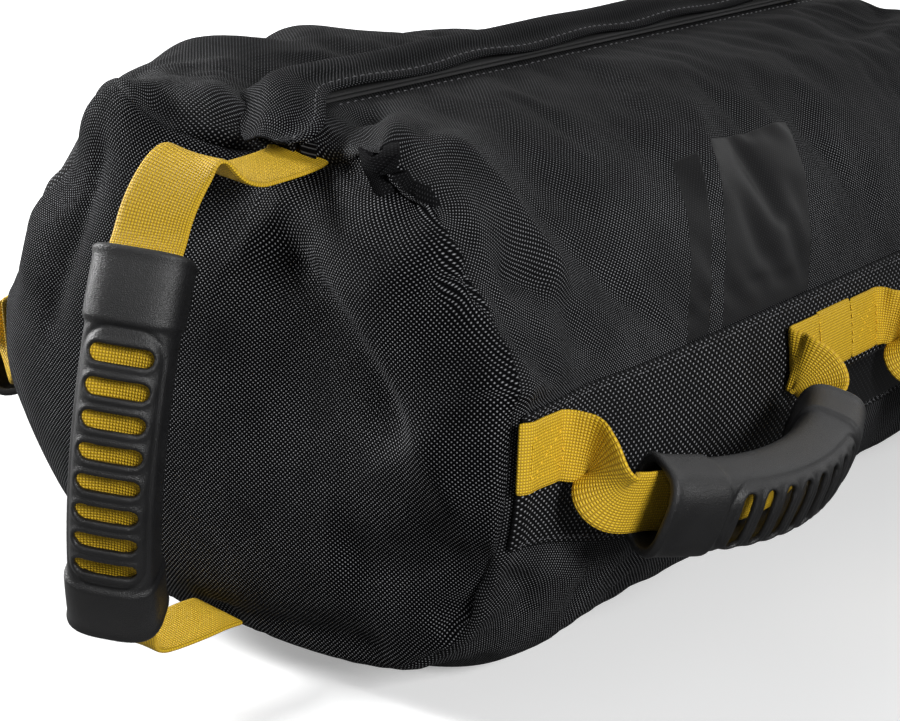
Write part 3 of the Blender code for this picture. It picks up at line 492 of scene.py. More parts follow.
def woven(name, dark, light, across, along, roughness, depth, films=()):
    """Woven cloth: the tops of its threads stand proud and are painted lighter, as painted
    glints.

    A film fills the weave and covers it with a gloss.
    """
    made, tree, shader = new_material(name, roughness)
    over, under = threads(tree, across, along)
    # Painted glints: the tops of the threads take the light colour.
    tops = add(tree, "Math", {0: over, 1: TOP_SHARPNESS}, operation="POWER")
    shown = add(tree, "Math", {0: tops, 1: painted_glint_and_shade_share(tree)}, operation="MULTIPLY")
    colour = add(tree, "Mix", {"Factor": shown, "A": linear(dark), "B": linear(light)},
                 data_type="RGBA")
    height = add(tree, "Math", {0: under, 1: UNDER_SHARE, 2: over}, operation="MULTIPLY_ADD")
    gloss = CLOTH_GLOSS
    if films:
        mask = film_mask(tree, films)
        covered = add(tree, "Math", {0: mask, 1: FILM_COVER_SHARE}, operation="MULTIPLY")
        colour = add(tree, "Mix", {"Factor": covered, "A": colour, "B": linear(FILM_COLOUR)},
                     data_type="RGBA")
        left = add(tree, "Math", {0: mask, 1: -FILM_FILL_SHARE, 2: 1.0},
                   operation="MULTIPLY_ADD")
        height = add(tree, "Math", {0: height, 1: left}, operation="MULTIPLY")
        height = add(tree, "Math", {0: mask, 1: FILM_HEIGHT, 2: height},
                     operation="MULTIPLY_ADD")
        rough = add(tree, "MapRange", {"Value": mask, "To Min": roughness,
                                       "To Max": FILM_ROUGHNESS})
        fill(tree, shader, {"Roughness": rough})
        gloss = FILM_GLOSS
    shader.inputs["Specular IOR Level"].default_value = gloss
    dress(tree, shader, colour, height, depth)
    return made


def bag_fabric(films=()):
    """Coated polyester, plain woven: a dark, matt ground, with small painted glints on its
    threads.

    Its threads are about 1.1 mm apart. They are drawn coarser than that, so that they show. Films
    are transfers pressed on it, left bare.
    """
    sizes, colours = bpy.context.scene.sandbag_sizes, bpy.context.scene.sandbag_colours
    name = "polyester_plain_weave_with_film" if films else "polyester_plain_weave"
    pitch = sizes.weave_pitch
    return woven(name, colours.fabric, colours.fabric_painted_glint, pitch, pitch * WEFT_SHARE,
                 CLOTH_ROUGHNESS, FABRIC_RELIEF, films)


def band_webbing():
    """Wide polyester webbing: black, with long flat threads.

    They are drawn coarser than the real ones, so that they show. A film is pressed on it.
    """
    pitch = bpy.context.scene.sandbag_sizes.band_pitch
    # Its light thread tops are painted glints as well.
    return woven("polyester_band_webbing", "070708", "A6A7AA", pitch * BAND_WEFT_SHARE, pitch,
                 CLOTH_ROUGHNESS, BAND_RELIEF, BAND_FILMS)


def zip_tape():
    """Knitted polyester tape: dark and matt, with a fine even weave."""
    return woven("polyester_zip_tape", "0E0E0F", "3A3A3C", TAPE_PITCH, TAPE_PITCH, 0.7,
                 TAPE_RELIEF)


def yellow_webbing():
    """Dyed polyester webbing: deep yellow, with painted shade between its round threads.

    They are drawn coarser than the real ones, so that they show.
    """
    sizes, colours = bpy.context.scene.sandbag_sizes, bpy.context.scene.sandbag_colours
    pitch = sizes.webbing_pitch
    made, tree, shader = new_material("polyester_yellow_webbing", 0.62)
    over, under = threads(tree, pitch, pitch)
    high = add(tree, "Math", {0: under, 1: WEBBING_UNDER_SHARE, 2: over},
               operation="MULTIPLY_ADD")
    # Painted shade: the lower places between the threads take the darker yellow.
    shown = add(tree, "Math", {0: high, 1: WEBBING_FULLNESS}, operation="POWER")
    colour = add(tree, "Mix", {"Factor": shown, "A": linear(colours.webbing_hollow_shade),
                               "B": linear(colours.webbing)}, data_type="RGBA")
    worn = add(tree, "Math", {0: clouds(tree, WEAR_SIZE), 1: WEAR_SHARE}, operation="MULTIPLY")
    colour = add(tree, "Mix", {"Factor": worn, "A": colour, "B": linear("D2AC1A")},
                 data_type="RGBA")
    dress(tree, shader, colour, high, WEBBING_RELIEF)
    return made


def grip_rubber():
    """Moulded thermoplastic rubber: matt black with a fine leather-like grain."""
    made, tree, shader = new_material("moulded_rubber", 0.4)
    grain = clouds(tree, GRIP_GRAIN, 2.0)
    rubbed = add(tree, "MapRange", {"Value": clouds(tree, GRIP_PATCH), "From Min": 0.35,
                                    "From Max": 0.7})
    dark = linear(bpy.context.scene.sandbag_colours.grip)
    colour = add(tree, "Mix", {"Factor": rubbed, "A": dark, "B": linear("171718")},
                 data_type="RGBA")
    rough = add(tree, "MapRange", {"Value": grain, "To Min": 0.3, "To Max": 0.5})
    fill(tree, shader, {"Specular IOR Level": 0.4, "Roughness": rough})
    dress(tree, shader, colour, grain, GRIP_RELIEF)
    return made


def plain(name, code, roughness, metallic, grain, depth):
    """A simple finish with fine grain, for the small and the hidden pieces."""
    made, tree, shader = new_material(name, roughness, metallic)
    grains = clouds(tree, grain)
    light = [min(1.0, c * 1.5 + 0.01) for c in linear(code)[:3]] + [1.0]
    colour = add(tree, "Mix", {"Factor": grains, "A": linear(code), "B": light},
                 data_type="RGBA")
    dress(tree, shader, colour, grains, depth)
    return made


MAKERS = {
    "fabric": bag_fabric,
    "filmed": lambda: bag_fabric(FABRIC_FILMS),
    "band": band_webbing,
    "yellow": yellow_webbing,
    "rubber": grip_rubber,
    "tape": zip_tape,
}

# Plain finishes: a name, a colour, roughness, metallic value, the grain's size and its relief
PLAIN_FINISHES = {
    # Moulded acetal: even black with a slight gloss
    "teeth": ("acetal_zip_teeth", "161617", 0.38, 0.0, 1.11 * MM, 0.05 * MM),
    # Die-cast zinc under black oxide: dark metal with soft highlights
    "metal": ("black_oxide_zinc", "26262A", 0.36, 1.0, 1.11 * MM, 0.05 * MM),
    # Nylon hooks: black, rough and without gloss
    "hook": ("nylon_hook_tape", "101011", 0.9, 0.0, 0.625 * MM, 0.5 * MM),
    # Coated polyester: dark grey, smooth and matt
    "cloth": ("coated_filler_cloth", "3C3D40", 0.7, 0.0, 1.43 * MM, 0.2 * MM),
    # Washed sand: pale brown and grainy
    "sand": ("washed_sand", "A98C60", 0.95, 0.0, 0.667 * MM, 0.6 * MM),
    # Bonded nylon thread: dark grey with a slight gloss
    "thread": ("bonded_nylon_thread", "39393C", 0.4, 0.0, 1.11 * MM, 0.05 * MM),
    # Bonded polyester thread: the webbing's yellow, duller
    "yellow_thread": ("bonded_yellow_thread", "E0AE18", 0.5, 0.0, 1.11 * MM, 0.05 * MM),
}
_made = {}


def finish(name):
    """The material of that key, made once."""
    if name not in _made:
        _made[name] = MAKERS[name]() if name in MAKERS else plain(*PLAIN_FINISHES[name])
    return _made[name]


def reach_along(points):
    """The distance along a line to each of its points."""
    steps = np.linalg.norm(np.diff(points, axis=0), axis=1)
    return np.concatenate(([0.0], np.cumsum(steps)))


def points_at(goal, reach, points):
    """Points of a line at distances along it."""
    return np.stack([np.interp(goal, reach, points[:, k]) for k in range(3)], axis=-1)


def outline(shares):
    """A closed smooth curve through an outline's points."""
    given = np.array(shares) * (SEAM_SETBACK, HALF_WIDTH, BAG_HEIGHT)
    before, start, stop, after = (np.roll(given, -d, axis=0)[:, None] for d in (-1, 0, 1, 2))
    t = np.linspace(0, 1, OUTLINE_STEPS, endpoint=False)[None, :, None]
    bend = (stop - before) * t + (before * 2 - start * 5 + stop * 4 - after) * t**2
    bend = bend + (start * 3 - before - stop * 3 + after) * t**3
    points = (start + bend / 2).reshape(-1, 3)
    points[:, 2] = np.maximum(points[:, 2], 0)
    return np.vstack((points, points[:1]))


MID_LINE = outline(MID_SHARES)
END_LINE = outline(END_SHARES)
MID_REACH = reach_along(MID_LINE[:, 1:])
GIRTH = MID_REACH[-1]


def on_line(line, girth):
    """Points of an outline at distances round the girth."""
    return points_at(np.mod(girth, GIRTH), MID_REACH, line)


def smooth_step(value):
    """0 up to 0, 1 from 1, and a soft rise between."""
    value = np.clip(value, 0, 1)
    return value * value * (3 - 2 * value)


def gathered(girth, shut):
    """Girths with the zip's gap drawn shut, as beyond the zip's ends."""
    off = np.mod(girth + GIRTH / 2, GIRTH) - GIRTH / 2
    half = ZIP_GAP / 2
    edge = half * (1 - shut)
    away = edge + (np.abs(off) - half) * (ZIP_DRAW - edge) / (ZIP_DRAW - half)
    away = np.where(np.abs(off) < half, np.abs(off) * (1 - shut), away)
    away = np.where(np.abs(off) < ZIP_DRAW, away, np.abs(off))
    return np.sign(off) * away


def skin(x, girth):
    """The bag's outer face at distances along it and round its girth, before its folds."""
    x, girth = np.broadcast_arrays(np.asarray(x, float), np.asarray(girth, float))
    far = x > 0
    zip_end = np.where(far, ZIP_FAR, ZIP_NEAR) + ZIP_CLEAR
    shut = smooth_step((np.abs(x) - zip_end) / ZIP_SHUT) * END_SHUT_SHARE
    girth = gathered(girth, shut)
    away = np.minimum(1, SIDE_SPREAD * np.sin(pi * girth / GIRTH) ** 2)
    start = zip_end + (CRUMPLE_START - zip_end) * away
    under = np.clip(-UNDER_SPREAD * np.cos(2 * pi * girth / GIRTH), 0, 1)
    start = start + (BASE_END - start) * under
    weight = smooth_step((np.abs(x) - start) / (HALF_LENGTH - start))[..., None]
    middle = on_line(MID_LINE, girth)
    near_end = on_line(END_LINE, girth)
    far_end = on_line(END_LINE, GIRTH - girth) * (1, -1, 1)
    calm = middle * (0, END_PINCH_SHARE, 1)
    calm[..., 2] = np.maximum(calm[..., 2], FAR_END_LIFT)
    far_end = far_end + (calm - far_end) * (1 - FAR_END_SHARE)
    end = np.where(far[..., None], far_end, near_end)
    point = middle + (end - middle) * weight
    point[..., 0] = x - np.where(far, 1, -1) * point[..., 0]
    return point


def girth_at_height(height):
    """The distance round the front where the middle outline passes a height."""
    front = MID_REACH < GIRTH / 2
    return float(np.interp(-height, -MID_LINE[front][:, 2], MID_REACH[front]))


STRAP_GIRTH = girth_at_height(STRAP_HEIGHT)
BAND_GIRTH = girth_at_height(BAND_HEIGHT)
BAND_TOP = BAND_GIRTH - BAND_WIDTH / 2
BAND_BOTTOM = BAND_GIRTH + BAND_WIDTH / 2

# The transfer films on the front: their stretches of X, which slants down the side, and of girth
FILM_TOP = 102 * MM
FILM_SLANT = 0.6
FABRIC_FILMS = (
    ((-66 * MM, -50 * MM), (FILM_TOP + 3 * MM, BAND_TOP)),
    ((-40 * MM, 29 * MM), (FILM_TOP, BAND_TOP)),
)
BAND_FILMS = (
    ((76 * MM, 166 * MM), (STRAP_GIRTH + WEBBING_WIDTH / 2 + 3 * MM, BAND_BOTTOM - 4 * MM)),
)
FILM_EDGE = 0.4 * MM

# How the fabric is held, folded and settled
BAND_EASE = 12 * MM
ZIP_HOLD = 18 * MM
ZIP_EASE = 16 * MM
ZIP_HEM = 8 * MM
SEAM_DEPTH = 3.0 * MM
SEAM_PUFF = 0.9 * MM
SEAM_INSET = 2.3 * MM
SETTLE_FRAMES = 16
SETTLE_CAP = 7 * MM
TOUCH = 0.3 * MM
FLOOR_HOLD = 4 * MM
FLOOR_EASE = 14 * MM
END_FREE_SHARE = 0.4
FADE_SPEED = 5
FADE_LEAST_SHARE = 0.15
FOLD_STEPS = 6
HEM_FALL_SHARE = 0.06

# The cloth simulation: light, fairly stiff fabric under slight pressure from inside
CLOTH = {
    "quality": 4, "mass": 0.35, "tension_stiffness": 12, "compression_stiffness": 12,
    "shear_stiffness": 6, "bending_stiffness": 0.35, "air_damping": 4, "use_pressure": True,
    "uniform_pressure_force": 4, "pin_stiffness": 0.6,
}
LOOSEST_SHARE = 0.94

# Pulls: a place as distance along and round, how it moves, and how far the pull reaches
PULLS = (
    ((-HALF_LENGTH, 0.0), (24 * MM, 0.0, 1 * MM), 42 * MM),
    ((-HALF_LENGTH, GIRTH - 78 * MM), (2 * MM, -8 * MM, 11 * MM), 26 * MM),
    ((-HALF_LENGTH, GIRTH - 112 * MM), (2 * MM, -11 * MM, -3 * MM), 30 * MM),
    ((-HALF_LENGTH, GIRTH - 146 * MM), (4 * MM, -9 * MM, 0.0), 26 * MM),
    ((-176 * MM, GIRTH - 90 * MM), (0.0, 2 * MM, 14 * MM), 28 * MM),
    ((-130 * MM, GIRTH - 94 * MM), (0.0, 2 * MM, 27 * MM), 34 * MM),
    ((-74 * MM, GIRTH - 94 * MM), (0.0, 2 * MM, 25 * MM), 35 * MM),
    ((-18 * MM, GIRTH - 94 * MM), (0.0, 2 * MM, 12 * MM), 36 * MM),
    ((-180 * MM, STRAP_GIRTH - 32 * MM), (0.0, 2.5 * MM, 0.0), 22 * MM),
    ((-180 * MM, GIRTH - STRAP_GIRTH + 34 * MM), (0.0, -3 * MM, -1 * MM), 26 * MM),
    ((HALF_LENGTH, 0.0), (-8 * MM, 0.0, -2 * MM), 40 * MM),
)

# Folds in the photograph, as pixels along each. Then their height, where a valley's is negative,
# their reach to the left and right of the line, and how sharp they are.
PHOTO_FOLDS = (
    (((356, 129), (392, 140), (419, 174), (447, 203), (472, 260), (493, 291), (508, 329),
      (531, 388)), -8 * MM, 8 * MM, 10 * MM, 1.3),
    (((425, 140), (459, 167), (493, 203), (514, 228), (546, 260), (572, 282)),
     8 * MM, 14 * MM, 14 * MM, 1.3),
    (((506, 268), (525, 276), (548, 284)), -5 * MM, 4 * MM, 6 * MM, 1.2),
    (((262, 168), (279, 186), (314, 266), (348, 313), (400, 390), (470, 520)),
     12 * MM, 34 * MM, 16 * MM, 1.1),
    (((270, 225), (315, 300), (355, 360), (410, 450)), -14 * MM, 14 * MM, 13 * MM, 1.2),
    (((300, 150), (345, 166), (395, 182), (440, 215)), -12 * MM, 9 * MM, 18 * MM, 1.2),
    (((436, 230), (468, 300), (492, 360), (505, 410)), 5 * MM, 16 * MM, 14 * MM, 1.4),
    (((138, 92), (175, 112), (215, 134), (250, 144)), -7 * MM, 6 * MM, 8 * MM, 1.2),
    (((264, 92), (262, 118), (256, 138)), -9 * MM, 8 * MM, 7 * MM, 1.2),
    (((226, 54), (216, 88), (210, 120)), 4 * MM, 11 * MM, 8 * MM, 1.3),
    (((150, 60), (170, 88), (196, 112)), 4 * MM, 14 * MM, 16 * MM, 1.4),
    (((100, 130), (78, 200), (62, 262), (46, 335)), -7 * MM, 10 * MM, 13 * MM, 1.3),
    (((60, 120), (38, 200), (24, 290)), 2 * MM, 14 * MM, 14 * MM, 1.4),
    (((484, 543), (487, 565), (478, 600), (440, 640)), -7 * MM, 6 * MM, 9 * MM, 1.2),
    (((484, 540), (530, 560), (580, 575)), 4 * MM, 9 * MM, 9 * MM, 1.3),
    (((500, 560), (520, 585), (528, 610)), -3 * MM, 5 * MM, 6 * MM, 1.3),
    (((190, 606), (260, 624), (330, 640), (390, 655)), -5 * MM, 8 * MM, 10 * MM, 1.3),
    (((330, 560), (400, 575), (470, 560)), -5 * MM, 20 * MM, 16 * MM, 1.4),
    (((470, 100), (530, 150), (600, 240), (640, 300)), -3.5 * MM, 16 * MM, 20 * MM, 1.4),
    (((560, 60), (620, 120), (700, 190)), -3.5 * MM, 16 * MM, 20 * MM, 1.4),
    (((690, 95), (703, 130), (712, 165), (718, 205)), 2.4 * MM, 5 * MM, 6 * MM, 1.2),
    (((790, 75), (830, 150), (880, 230)), -3 * MM, 12 * MM, 16 * MM, 1.3),
    (((735, 90), (775, 118), (800, 135)), 1.8 * MM, 5 * MM, 7 * MM, 1.2),
    (((560, 250), (566, 310), (580, 370)), -2.5 * MM, 14 * MM, 14 * MM, 1.4),
    (((520, 300), (538, 340), (545, 390)), -4 * MM, 8 * MM, 10 * MM, 1.3),
)

# Hollows in the photograph: a pixel, the height and the reach
PHOTO_HOLLOWS = (
    ((515, 258), -8 * MM, 15 * MM),
    ((365, 116), -6 * MM, 10 * MM),
    ((385, 255), 5 * MM, 26 * MM),
    ((55, 300), 3 * MM, 18 * MM),
    ((285, 330), -7 * MM, 30 * MM),
    ((300, 420), -7 * MM, 34 * MM),
)

# Drags from the end seams where the photograph doesn't show them, as shares of the girth
NEAR_DRAG_SHARES = (0.56, 0.63, 0.90, 0.95)
FAR_DRAG_SHARES = (0.06, 0.11, 0.16, 0.36, 0.41, 0.58, 0.63, 0.86, 0.91, 0.96)
DRAG_WAVES = 31
DRAG_LENGTH = 70 * MM
DRAG_LENGTH_WAVE = 22 * MM
DRAG_BEND = 30 * MM
DRAG_SHIFT = 6 * MM
DRAG_END_SHIFT = 16 * MM
DRAG_DEPTH = 3.4 * MM
DRAG_DEPTH_WAVE = 1.6 * MM
DRAG_FORM = (8 * MM, 13 * MM, 1.4)

# Long soft folds: their two ends along the bag, their share of the girth and their depth
LONG_FOLDS = (
    ((-20 * MM, 160 * MM), 0.13, -2.4 * MM),
    ((-150 * MM, 40 * MM), 0.86, -2.8 * MM),
    ((30 * MM, 190 * MM), 0.90, -2.4 * MM),
    ((-170 * MM, -50 * MM), 0.93, -2.6 * MM),
    ((50 * MM, 200 * MM), 0.07, -2.0 * MM),
    ((-120 * MM, 20 * MM), 0.39, -1.8 * MM),
    ((40 * MM, 170 * MM), 0.61, -1.8 * MM),
)
LONG_FOLD_BOW = 7 * MM
LONG_FOLD_DRIFT = 2 * MM
LONG_FOLD_FORM = (16 * MM, 22 * MM, 1.7)


def sight(pixel):
    """The line of sight through a pixel of the photograph."""
    ahead, right, up = view_axes()
    x, y = pixel
    across = (x - IMAGE_WIDTH / 2) / FOCAL_PIXELS
    rise = (IMAGE_HEIGHT / 2 - y) / FOCAL_PIXELS
    return (ahead + right * across + up * rise).normalized()


def view_axes():
    """The camera's forward, right and up directions."""
    level = cos(ELEVATION)
    ahead = Vector((level * sin(AZIMUTH), level * cos(AZIMUTH), -sin(ELEVATION)))
    right = Vector((cos(AZIMUTH), -sin(AZIMUTH), 0))
    return ahead, right, right.cross(ahead)


def grid_mesh(rows, columns):
    """A sheet of rows by columns of faces, and each vertex's row and column."""
    bm = bmesh.new()
    bmesh.ops.create_grid(bm, x_segments=rows, y_segments=columns, size=1)
    bm.verts.ensure_lookup_table()
    spots = np.array([v.co[:2] for v in bm.verts])
    row = np.rint((spots[:, 0] + 1) / 2 * rows).astype(int)
    column = np.rint((spots[:, 1] + 1) / 2 * columns).astype(int)
    return bm, row, column


def set_places(bm, places):
    """Put each vertex of a bmesh in its place."""
    for vert, place in zip(bm.verts, places):
        vert.co = place


def set_uv(bm, values):
    """Write the cloth's flat coordinates, in metres for each vertex, to its UV map."""
    layer = bm.loops.layers.uv.new("cloth")
    for face in bm.faces:
        for loop in face.loops:
            loop[layer].uv = values[loop.vert.index]


def mesh_from(bm, name):
    """The mesh of a finished bmesh, which is freed."""
    mesh = bpy.data.meshes.new(name)
    bm.to_mesh(mesh)
    bm.free()
    return mesh


def join_into(whole, bm):
    """Add a finished bmesh to another."""
    mesh = mesh_from(bm, "joined")
    whole.from_mesh(mesh)
    bpy.data.meshes.remove(mesh)


def linked(name, data):
    """A new object in the scene."""
    made = bpy.data.objects.new(name, data)
    bpy.context.scene.collection.objects.link(made)
    return made


def object_from(bm, name, material_name, body, smooth=True):
    """Make a finished bmesh a piece that rides on a body."""
    return object_with(mesh_from(bm, name), name, material_name, body, smooth)


def object_with(mesh, name, material_name, body, smooth=True):
    """Make a mesh a piece that rides on a body, or on none, as the webbing does."""
    if smooth:
        mesh.shade_smooth()
    mesh.materials.clear()
    mesh.materials.append(finish(material_name))
    made = linked(name, mesh)
    if body:
        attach(made, body)
    return made


def modifier(piece, kind, **settings):
    """Add a modifier with its settings."""
    made = piece.modifiers.new(kind.lower(), kind)
    for key, value in settings.items():
        setattr(made, key, value)
    return made


def smoothed(piece, levels=1):
    """Round a piece by subdivision."""
    return modifier(piece, "SUBSURF", levels=levels, render_levels=levels)


def walled(piece, thickness, offset=-1.0):
    """Give a sheet its thickness."""
    return modifier(piece, "SOLIDIFY", thickness=thickness, offset=offset, use_rim=True)


def evaluated_mesh(piece, name):
    """A plain mesh of a piece with its modifiers applied."""
    bpy.context.view_layer.update()
    graph = bpy.context.evaluated_depsgraph_get()
    mesh = bpy.data.meshes.new_from_object(piece.evaluated_get(graph))
    mesh.name = name
    return mesh


def faced(piece, outward=Vector((0, 0, 1)), share=0.5):
    """Turn a sheet over where the face at that share of its faces looks inwards."""
    polygons = piece.data.polygons
    if polygons[int(len(polygons) * share)].normal.dot(outward) < 0:
        piece.data.flip_normals()


def unit(vectors):
    """Vectors of length 1 in the same directions."""
    length = np.linalg.norm(vectors, axis=-1, keepdims=True)
    return vectors / np.maximum(length, 1e-12)


def along_curve(points, steps):
    """Points of a smooth curve through the given ones, some steps from one to the next."""
    points = np.asarray(points, float)
    ends = np.vstack((points[:1] * 2 - points[1:2], points, points[-1:] * 2 - points[-2:-1]))
    made = []
    for k in range(len(points) - 1):
        a, b, c, d = ends[k:k + 4]
        t = np.linspace(0, 1, steps, endpoint=False)[:, None]
        bend = (c - a) * t + (a * 2 - b * 5 + c * 4 - d) * t**2 + (b * 3 - a - c * 3 + d) * t**3
        made.append(b + bend / 2)
    return np.vstack(made + [points[-1:]])


_even = np.linspace(-1, 1, ROWS + 1)
ROW_PLACES = HALF_LENGTH * (_even + ROW_CROWDING * np.sin(pi * _even) / pi)
COLUMN_GIRTHS = np.linspace(ZIP_GAP / 2, GIRTH - ZIP_GAP / 2, COLUMNS + 1)
GAP_GIRTHS = np.linspace(GIRTH - ZIP_GAP / 2, GIRTH + ZIP_GAP / 2, ZIP_COLUMNS + 1)[1:-1]
RIM_GIRTHS = np.concatenate((COLUMN_GIRTHS, GAP_GIRTHS))
RIM_COUNT = len(RIM_GIRTHS)


def rim_index(row, column):
    """Where on the end seam a border vertex of an end panel's square grid lies."""
    corner = RIM_COUNT - ZIP_COLUMNS // 2 - CAP // 2
    step = np.where(column == CAP, row, np.where(row == CAP, 2 * CAP - column,
                    np.where(column == 0, 3 * CAP - row, 3 * CAP + column)))
    return (corner + step) % RIM_COUNT


def cap_places(side, row, column):
    """An end panel: a patch between four stretches of the end seam, domed outwards."""
    rim = skin(side * HALF_LENGTH, RIM_GIRTHS)
    full, none = np.full_like(row, CAP), np.zeros_like(row)
    top, bottom = rim[rim_index(row, full)], rim[rim_index(row, none)]
    front, back = rim[rim_index(full, column)], rim[rim_index(none, column)]
    s, t = (row / CAP)[:, None], (column / CAP)[:, None]
    flat = rim[rim_index(0, 0)] * (1 - s) * (1 - t) + rim[rim_index(CAP, 0)] * s * (1 - t)
    flat = flat + rim[rim_index(CAP, CAP)] * s * t + rim[rim_index(0, CAP)] * (1 - s) * t
    place = bottom * (1 - t) + top * t + back * (1 - s) + front * s - flat
    dome = (16 * s * (1 - s) * t * (1 - t)) ** DOME_ROUNDNESS
    peak = side * (HALF_LENGTH + END_RISE)
    place[:, :1] += (peak - place[:, :1]) * dome * DOME_SHARE
    return place


def shell():
    """The bag's three panels as one closed skin, before its folds.

    Its vertices keep their row and column on the body panel, counted from one, and its faces
    the panel that they belong to.
    """
    whole = bmesh.new()
    rims = {}
    for panel, side in ((0, 0), (1, -1), (2, 1)):
        size = (ROWS, COLUMNS) if panel == 0 else (CAP, CAP)
        bm, row, column = grid_mesh(*size)
        if panel == 0:
            x, girth = ROW_PLACES[row], COLUMN_GIRTHS[column]
            set_places(bm, skin(x, girth))
            flat = np.stack((x, girth), axis=-1)
        else:
            place = cap_places(side, row, column)
            set_places(bm, place)
            flat = place[:, 1:]
        set_uv(bm, flat)
        layers = [bm.verts.layers.int.new(key) for key in ("row", "column", "cap")]
        marks = [row + 1, column + 1, row * 0] if panel == 0 else [row * 0, row * 0, row * 0]
        border = (row == 0) | (row == CAP) | (column == 0) | (column == CAP)
        if panel:
            seam = rim_index(row, column)
            marks[2] = np.where(border, seam + 1 + (RIM_COUNT if side > 0 else 0), -1)
        for vert, *values in zip(bm.verts, *marks):
            for layer, value in zip(layers, values):
                vert[layer] = int(value)
        key = bm.faces.layers.int.new("panel")
        for face in bm.faces:
            face[key] = panel
        join_into(whole, bm)
    row, column, cap = (whole.verts.layers.int[key] for key in ("row", "column", "cap"))
    for vert in whole.verts:
        if vert[row] == 1:
            rims[vert[column]] = vert
        elif vert[row] == ROWS + 1:
            rims[vert[column] + RIM_COUNT] = vert
    joined = {v: rims[v[cap]] for v in whole.verts if v[cap] > 0 and v[cap] in rims}
    bmesh.ops.weld_verts(whole, targetmap=joined)
    bmesh.ops.recalc_face_normals(whole, faces=whole.faces)
    return whole


def read_attribute(mesh, name):
    """A whole number for each vertex, as it was marked."""
    values = np.zeros(len(mesh.vertices), int)
    mesh.attributes[name].data.foreach_get("value", values)
    return values


def read_places(mesh):
    """The places of a mesh's vertices."""
    values = np.zeros(len(mesh.vertices) * 3)
    mesh.vertices.foreach_get("co", values)
    return values.reshape(-1, 3)


def write_places(mesh, places):
    """Move a mesh's vertices to their places."""
    mesh.vertices.foreach_set("co", places.reshape(-1))
    mesh.update()


def vertex_normals(mesh):
    """The outward direction at each vertex."""
    values = np.zeros(len(mesh.vertices) * 3)
    mesh.vertex_normals.foreach_get("vector", values)
    return values.reshape(-1, 3)


def band_share(girth):
    """1 on the side bands, falling to 0 beside them, on both sides of the bag."""
    front = np.minimum(girth, GIRTH - girth)
    off = np.maximum(BAND_TOP - front, front - BAND_BOTTOM)
    return 1 - smooth_step(off / BAND_EASE)


def held_share(places, x, girth, on_body):
    """1 where other pieces are sewn on and the fabric keeps its place, and 0 where it is free."""
    held = np.where(on_body, band_share(girth), 0)
    front = np.minimum(girth, GIRTH - girth)
    zip_reach = 1 - smooth_step((front - ZIP_HOLD) / ZIP_EASE)
    on_zip = (x > -ZIP_NEAR) & (x < ZIP_FAR + ZIP_CLEAR)
    held = np.maximum(held, np.where(on_body & on_zip, zip_reach, 0))
    under = 1 - smooth_step((places[:, 2] - FLOOR_HOLD) / FLOOR_EASE)
    return np.maximum(held, under)


def fold_shift(places, normals, line, height, left, right, sharp):
    """How far one fold moves each place along its normal.

    The fold runs along a line. It reaches further on one side than on the other, and fades out
    towards both of its ends.
    """
    lengths = np.linalg.norm(np.diff(line, axis=0), axis=1)
    reached = np.concatenate(([0], np.cumsum(lengths)))
    nearest = np.full(len(places), np.inf)
    side = np.zeros(len(places))
    share = np.zeros(len(places))
    for k, (start, stop) in enumerate(zip(line, line[1:])):
        run = stop - start
        if lengths[k] < 1e-6:
            continue
        t = np.clip((places - start) @ run / (run @ run), 0, 1)
        offset = places - start - t[:, None] * run
        distance = np.linalg.norm(offset, axis=1)
        closer = distance < nearest
        nearest = np.where(closer, distance, nearest)
        turned = (np.cross(normals, run) * offset).sum(axis=1)
        side = np.where(closer, turned, side)
        share = np.where(closer, (reached[k] + t * lengths[k]) / reached[-1], share)
    reach = np.where(side > 0, left, right)
    fade = np.clip(np.minimum(share, 1 - share) * FADE_SPEED, 0, 1)
    fade = FADE_LEAST_SHARE + (1 - FADE_LEAST_SHARE) * fade * (2 - fade)
    return height * fade * np.exp(-(nearest / reach) ** sharp)


def seats(mesh):
    """How free each vertex of the shell is to move, from 0 where it is held to 1."""
    places = read_places(mesh)
    row, column, cap = (read_attribute(mesh, key) for key in ("row", "column", "cap"))
    on_body = row > 0
    x = np.where(on_body, ROW_PLACES[np.maximum(row - 1, 0)], places[:, 0])
    girth = np.where(on_body, COLUMN_GIRTHS[np.maximum(column - 1, 0)], 0)
    free = 1 - held_share(places, x, girth, on_body)
    return np.where(cap != 0, np.maximum(free, END_FREE_SHARE), free)


def pulled(mesh):
    """Draw the shell in and out where the seams and the filling do."""
    places = read_places(mesh)
    for centre, move, reach in PULLS:
        near = np.exp(-(np.linalg.norm(places - skin(*centre), axis=1) / reach) ** 2)
        places = places + np.asarray(move) * near[:, None]
    write_places(mesh, places)


def folded(mesh, free):
    """Fold the shell: what the photograph shows, and folds of the same kind elsewhere."""
    share = bpy.context.scene.sandbag_sizes.crumple
    places = read_places(mesh)
    row, cap = read_attribute(mesh, "row"), read_attribute(mesh, "cap")
    tree = BVHTree.FromPolygons([Vector(p) for p in places],
                                [tuple(p.vertices) for p in mesh.polygons])
    normals = vertex_normals(mesh)
    shift = np.zeros(len(places))
    for pixels, height, left, right, sharp in PHOTO_FOLDS:
        line = []
        for pixel in along_curve(pixels, FOLD_STEPS):
            hit = tree.ray_cast(EYE, sight(pixel))[0]
            if hit:
                line.append(hit)
        shift += fold_shift(places, normals, np.array(line), height, left, right, sharp)
    for spots, height, left, right, sharp in hidden_folds():
        line = skin(*along_curve(spots, FOLD_STEPS).T)
        shift += fold_shift(places, normals, line, height, left, right, sharp)
    for pixel, height, reach in PHOTO_HOLLOWS:
        hit = np.array(tree.ray_cast(EYE, sight(pixel))[0])
        distance = np.linalg.norm(places - hit, axis=1)
        shift += height * np.exp(-(distance / reach) ** 2)
    seam = (row == 1) | (row == ROWS + 1) | (cap > 0)
    places = places + normals * (shift * free * share)[:, None]
    beside = (row == 3) | (row == ROWS - 1)
    dip = np.where(seam, SEAM_DEPTH, 0) - np.where(beside, SEAM_PUFF, 0)
    places = places - normals * dip[:, None]
    places[:, 2] = np.maximum(places[:, 2], 0)
    write_places(mesh, places)


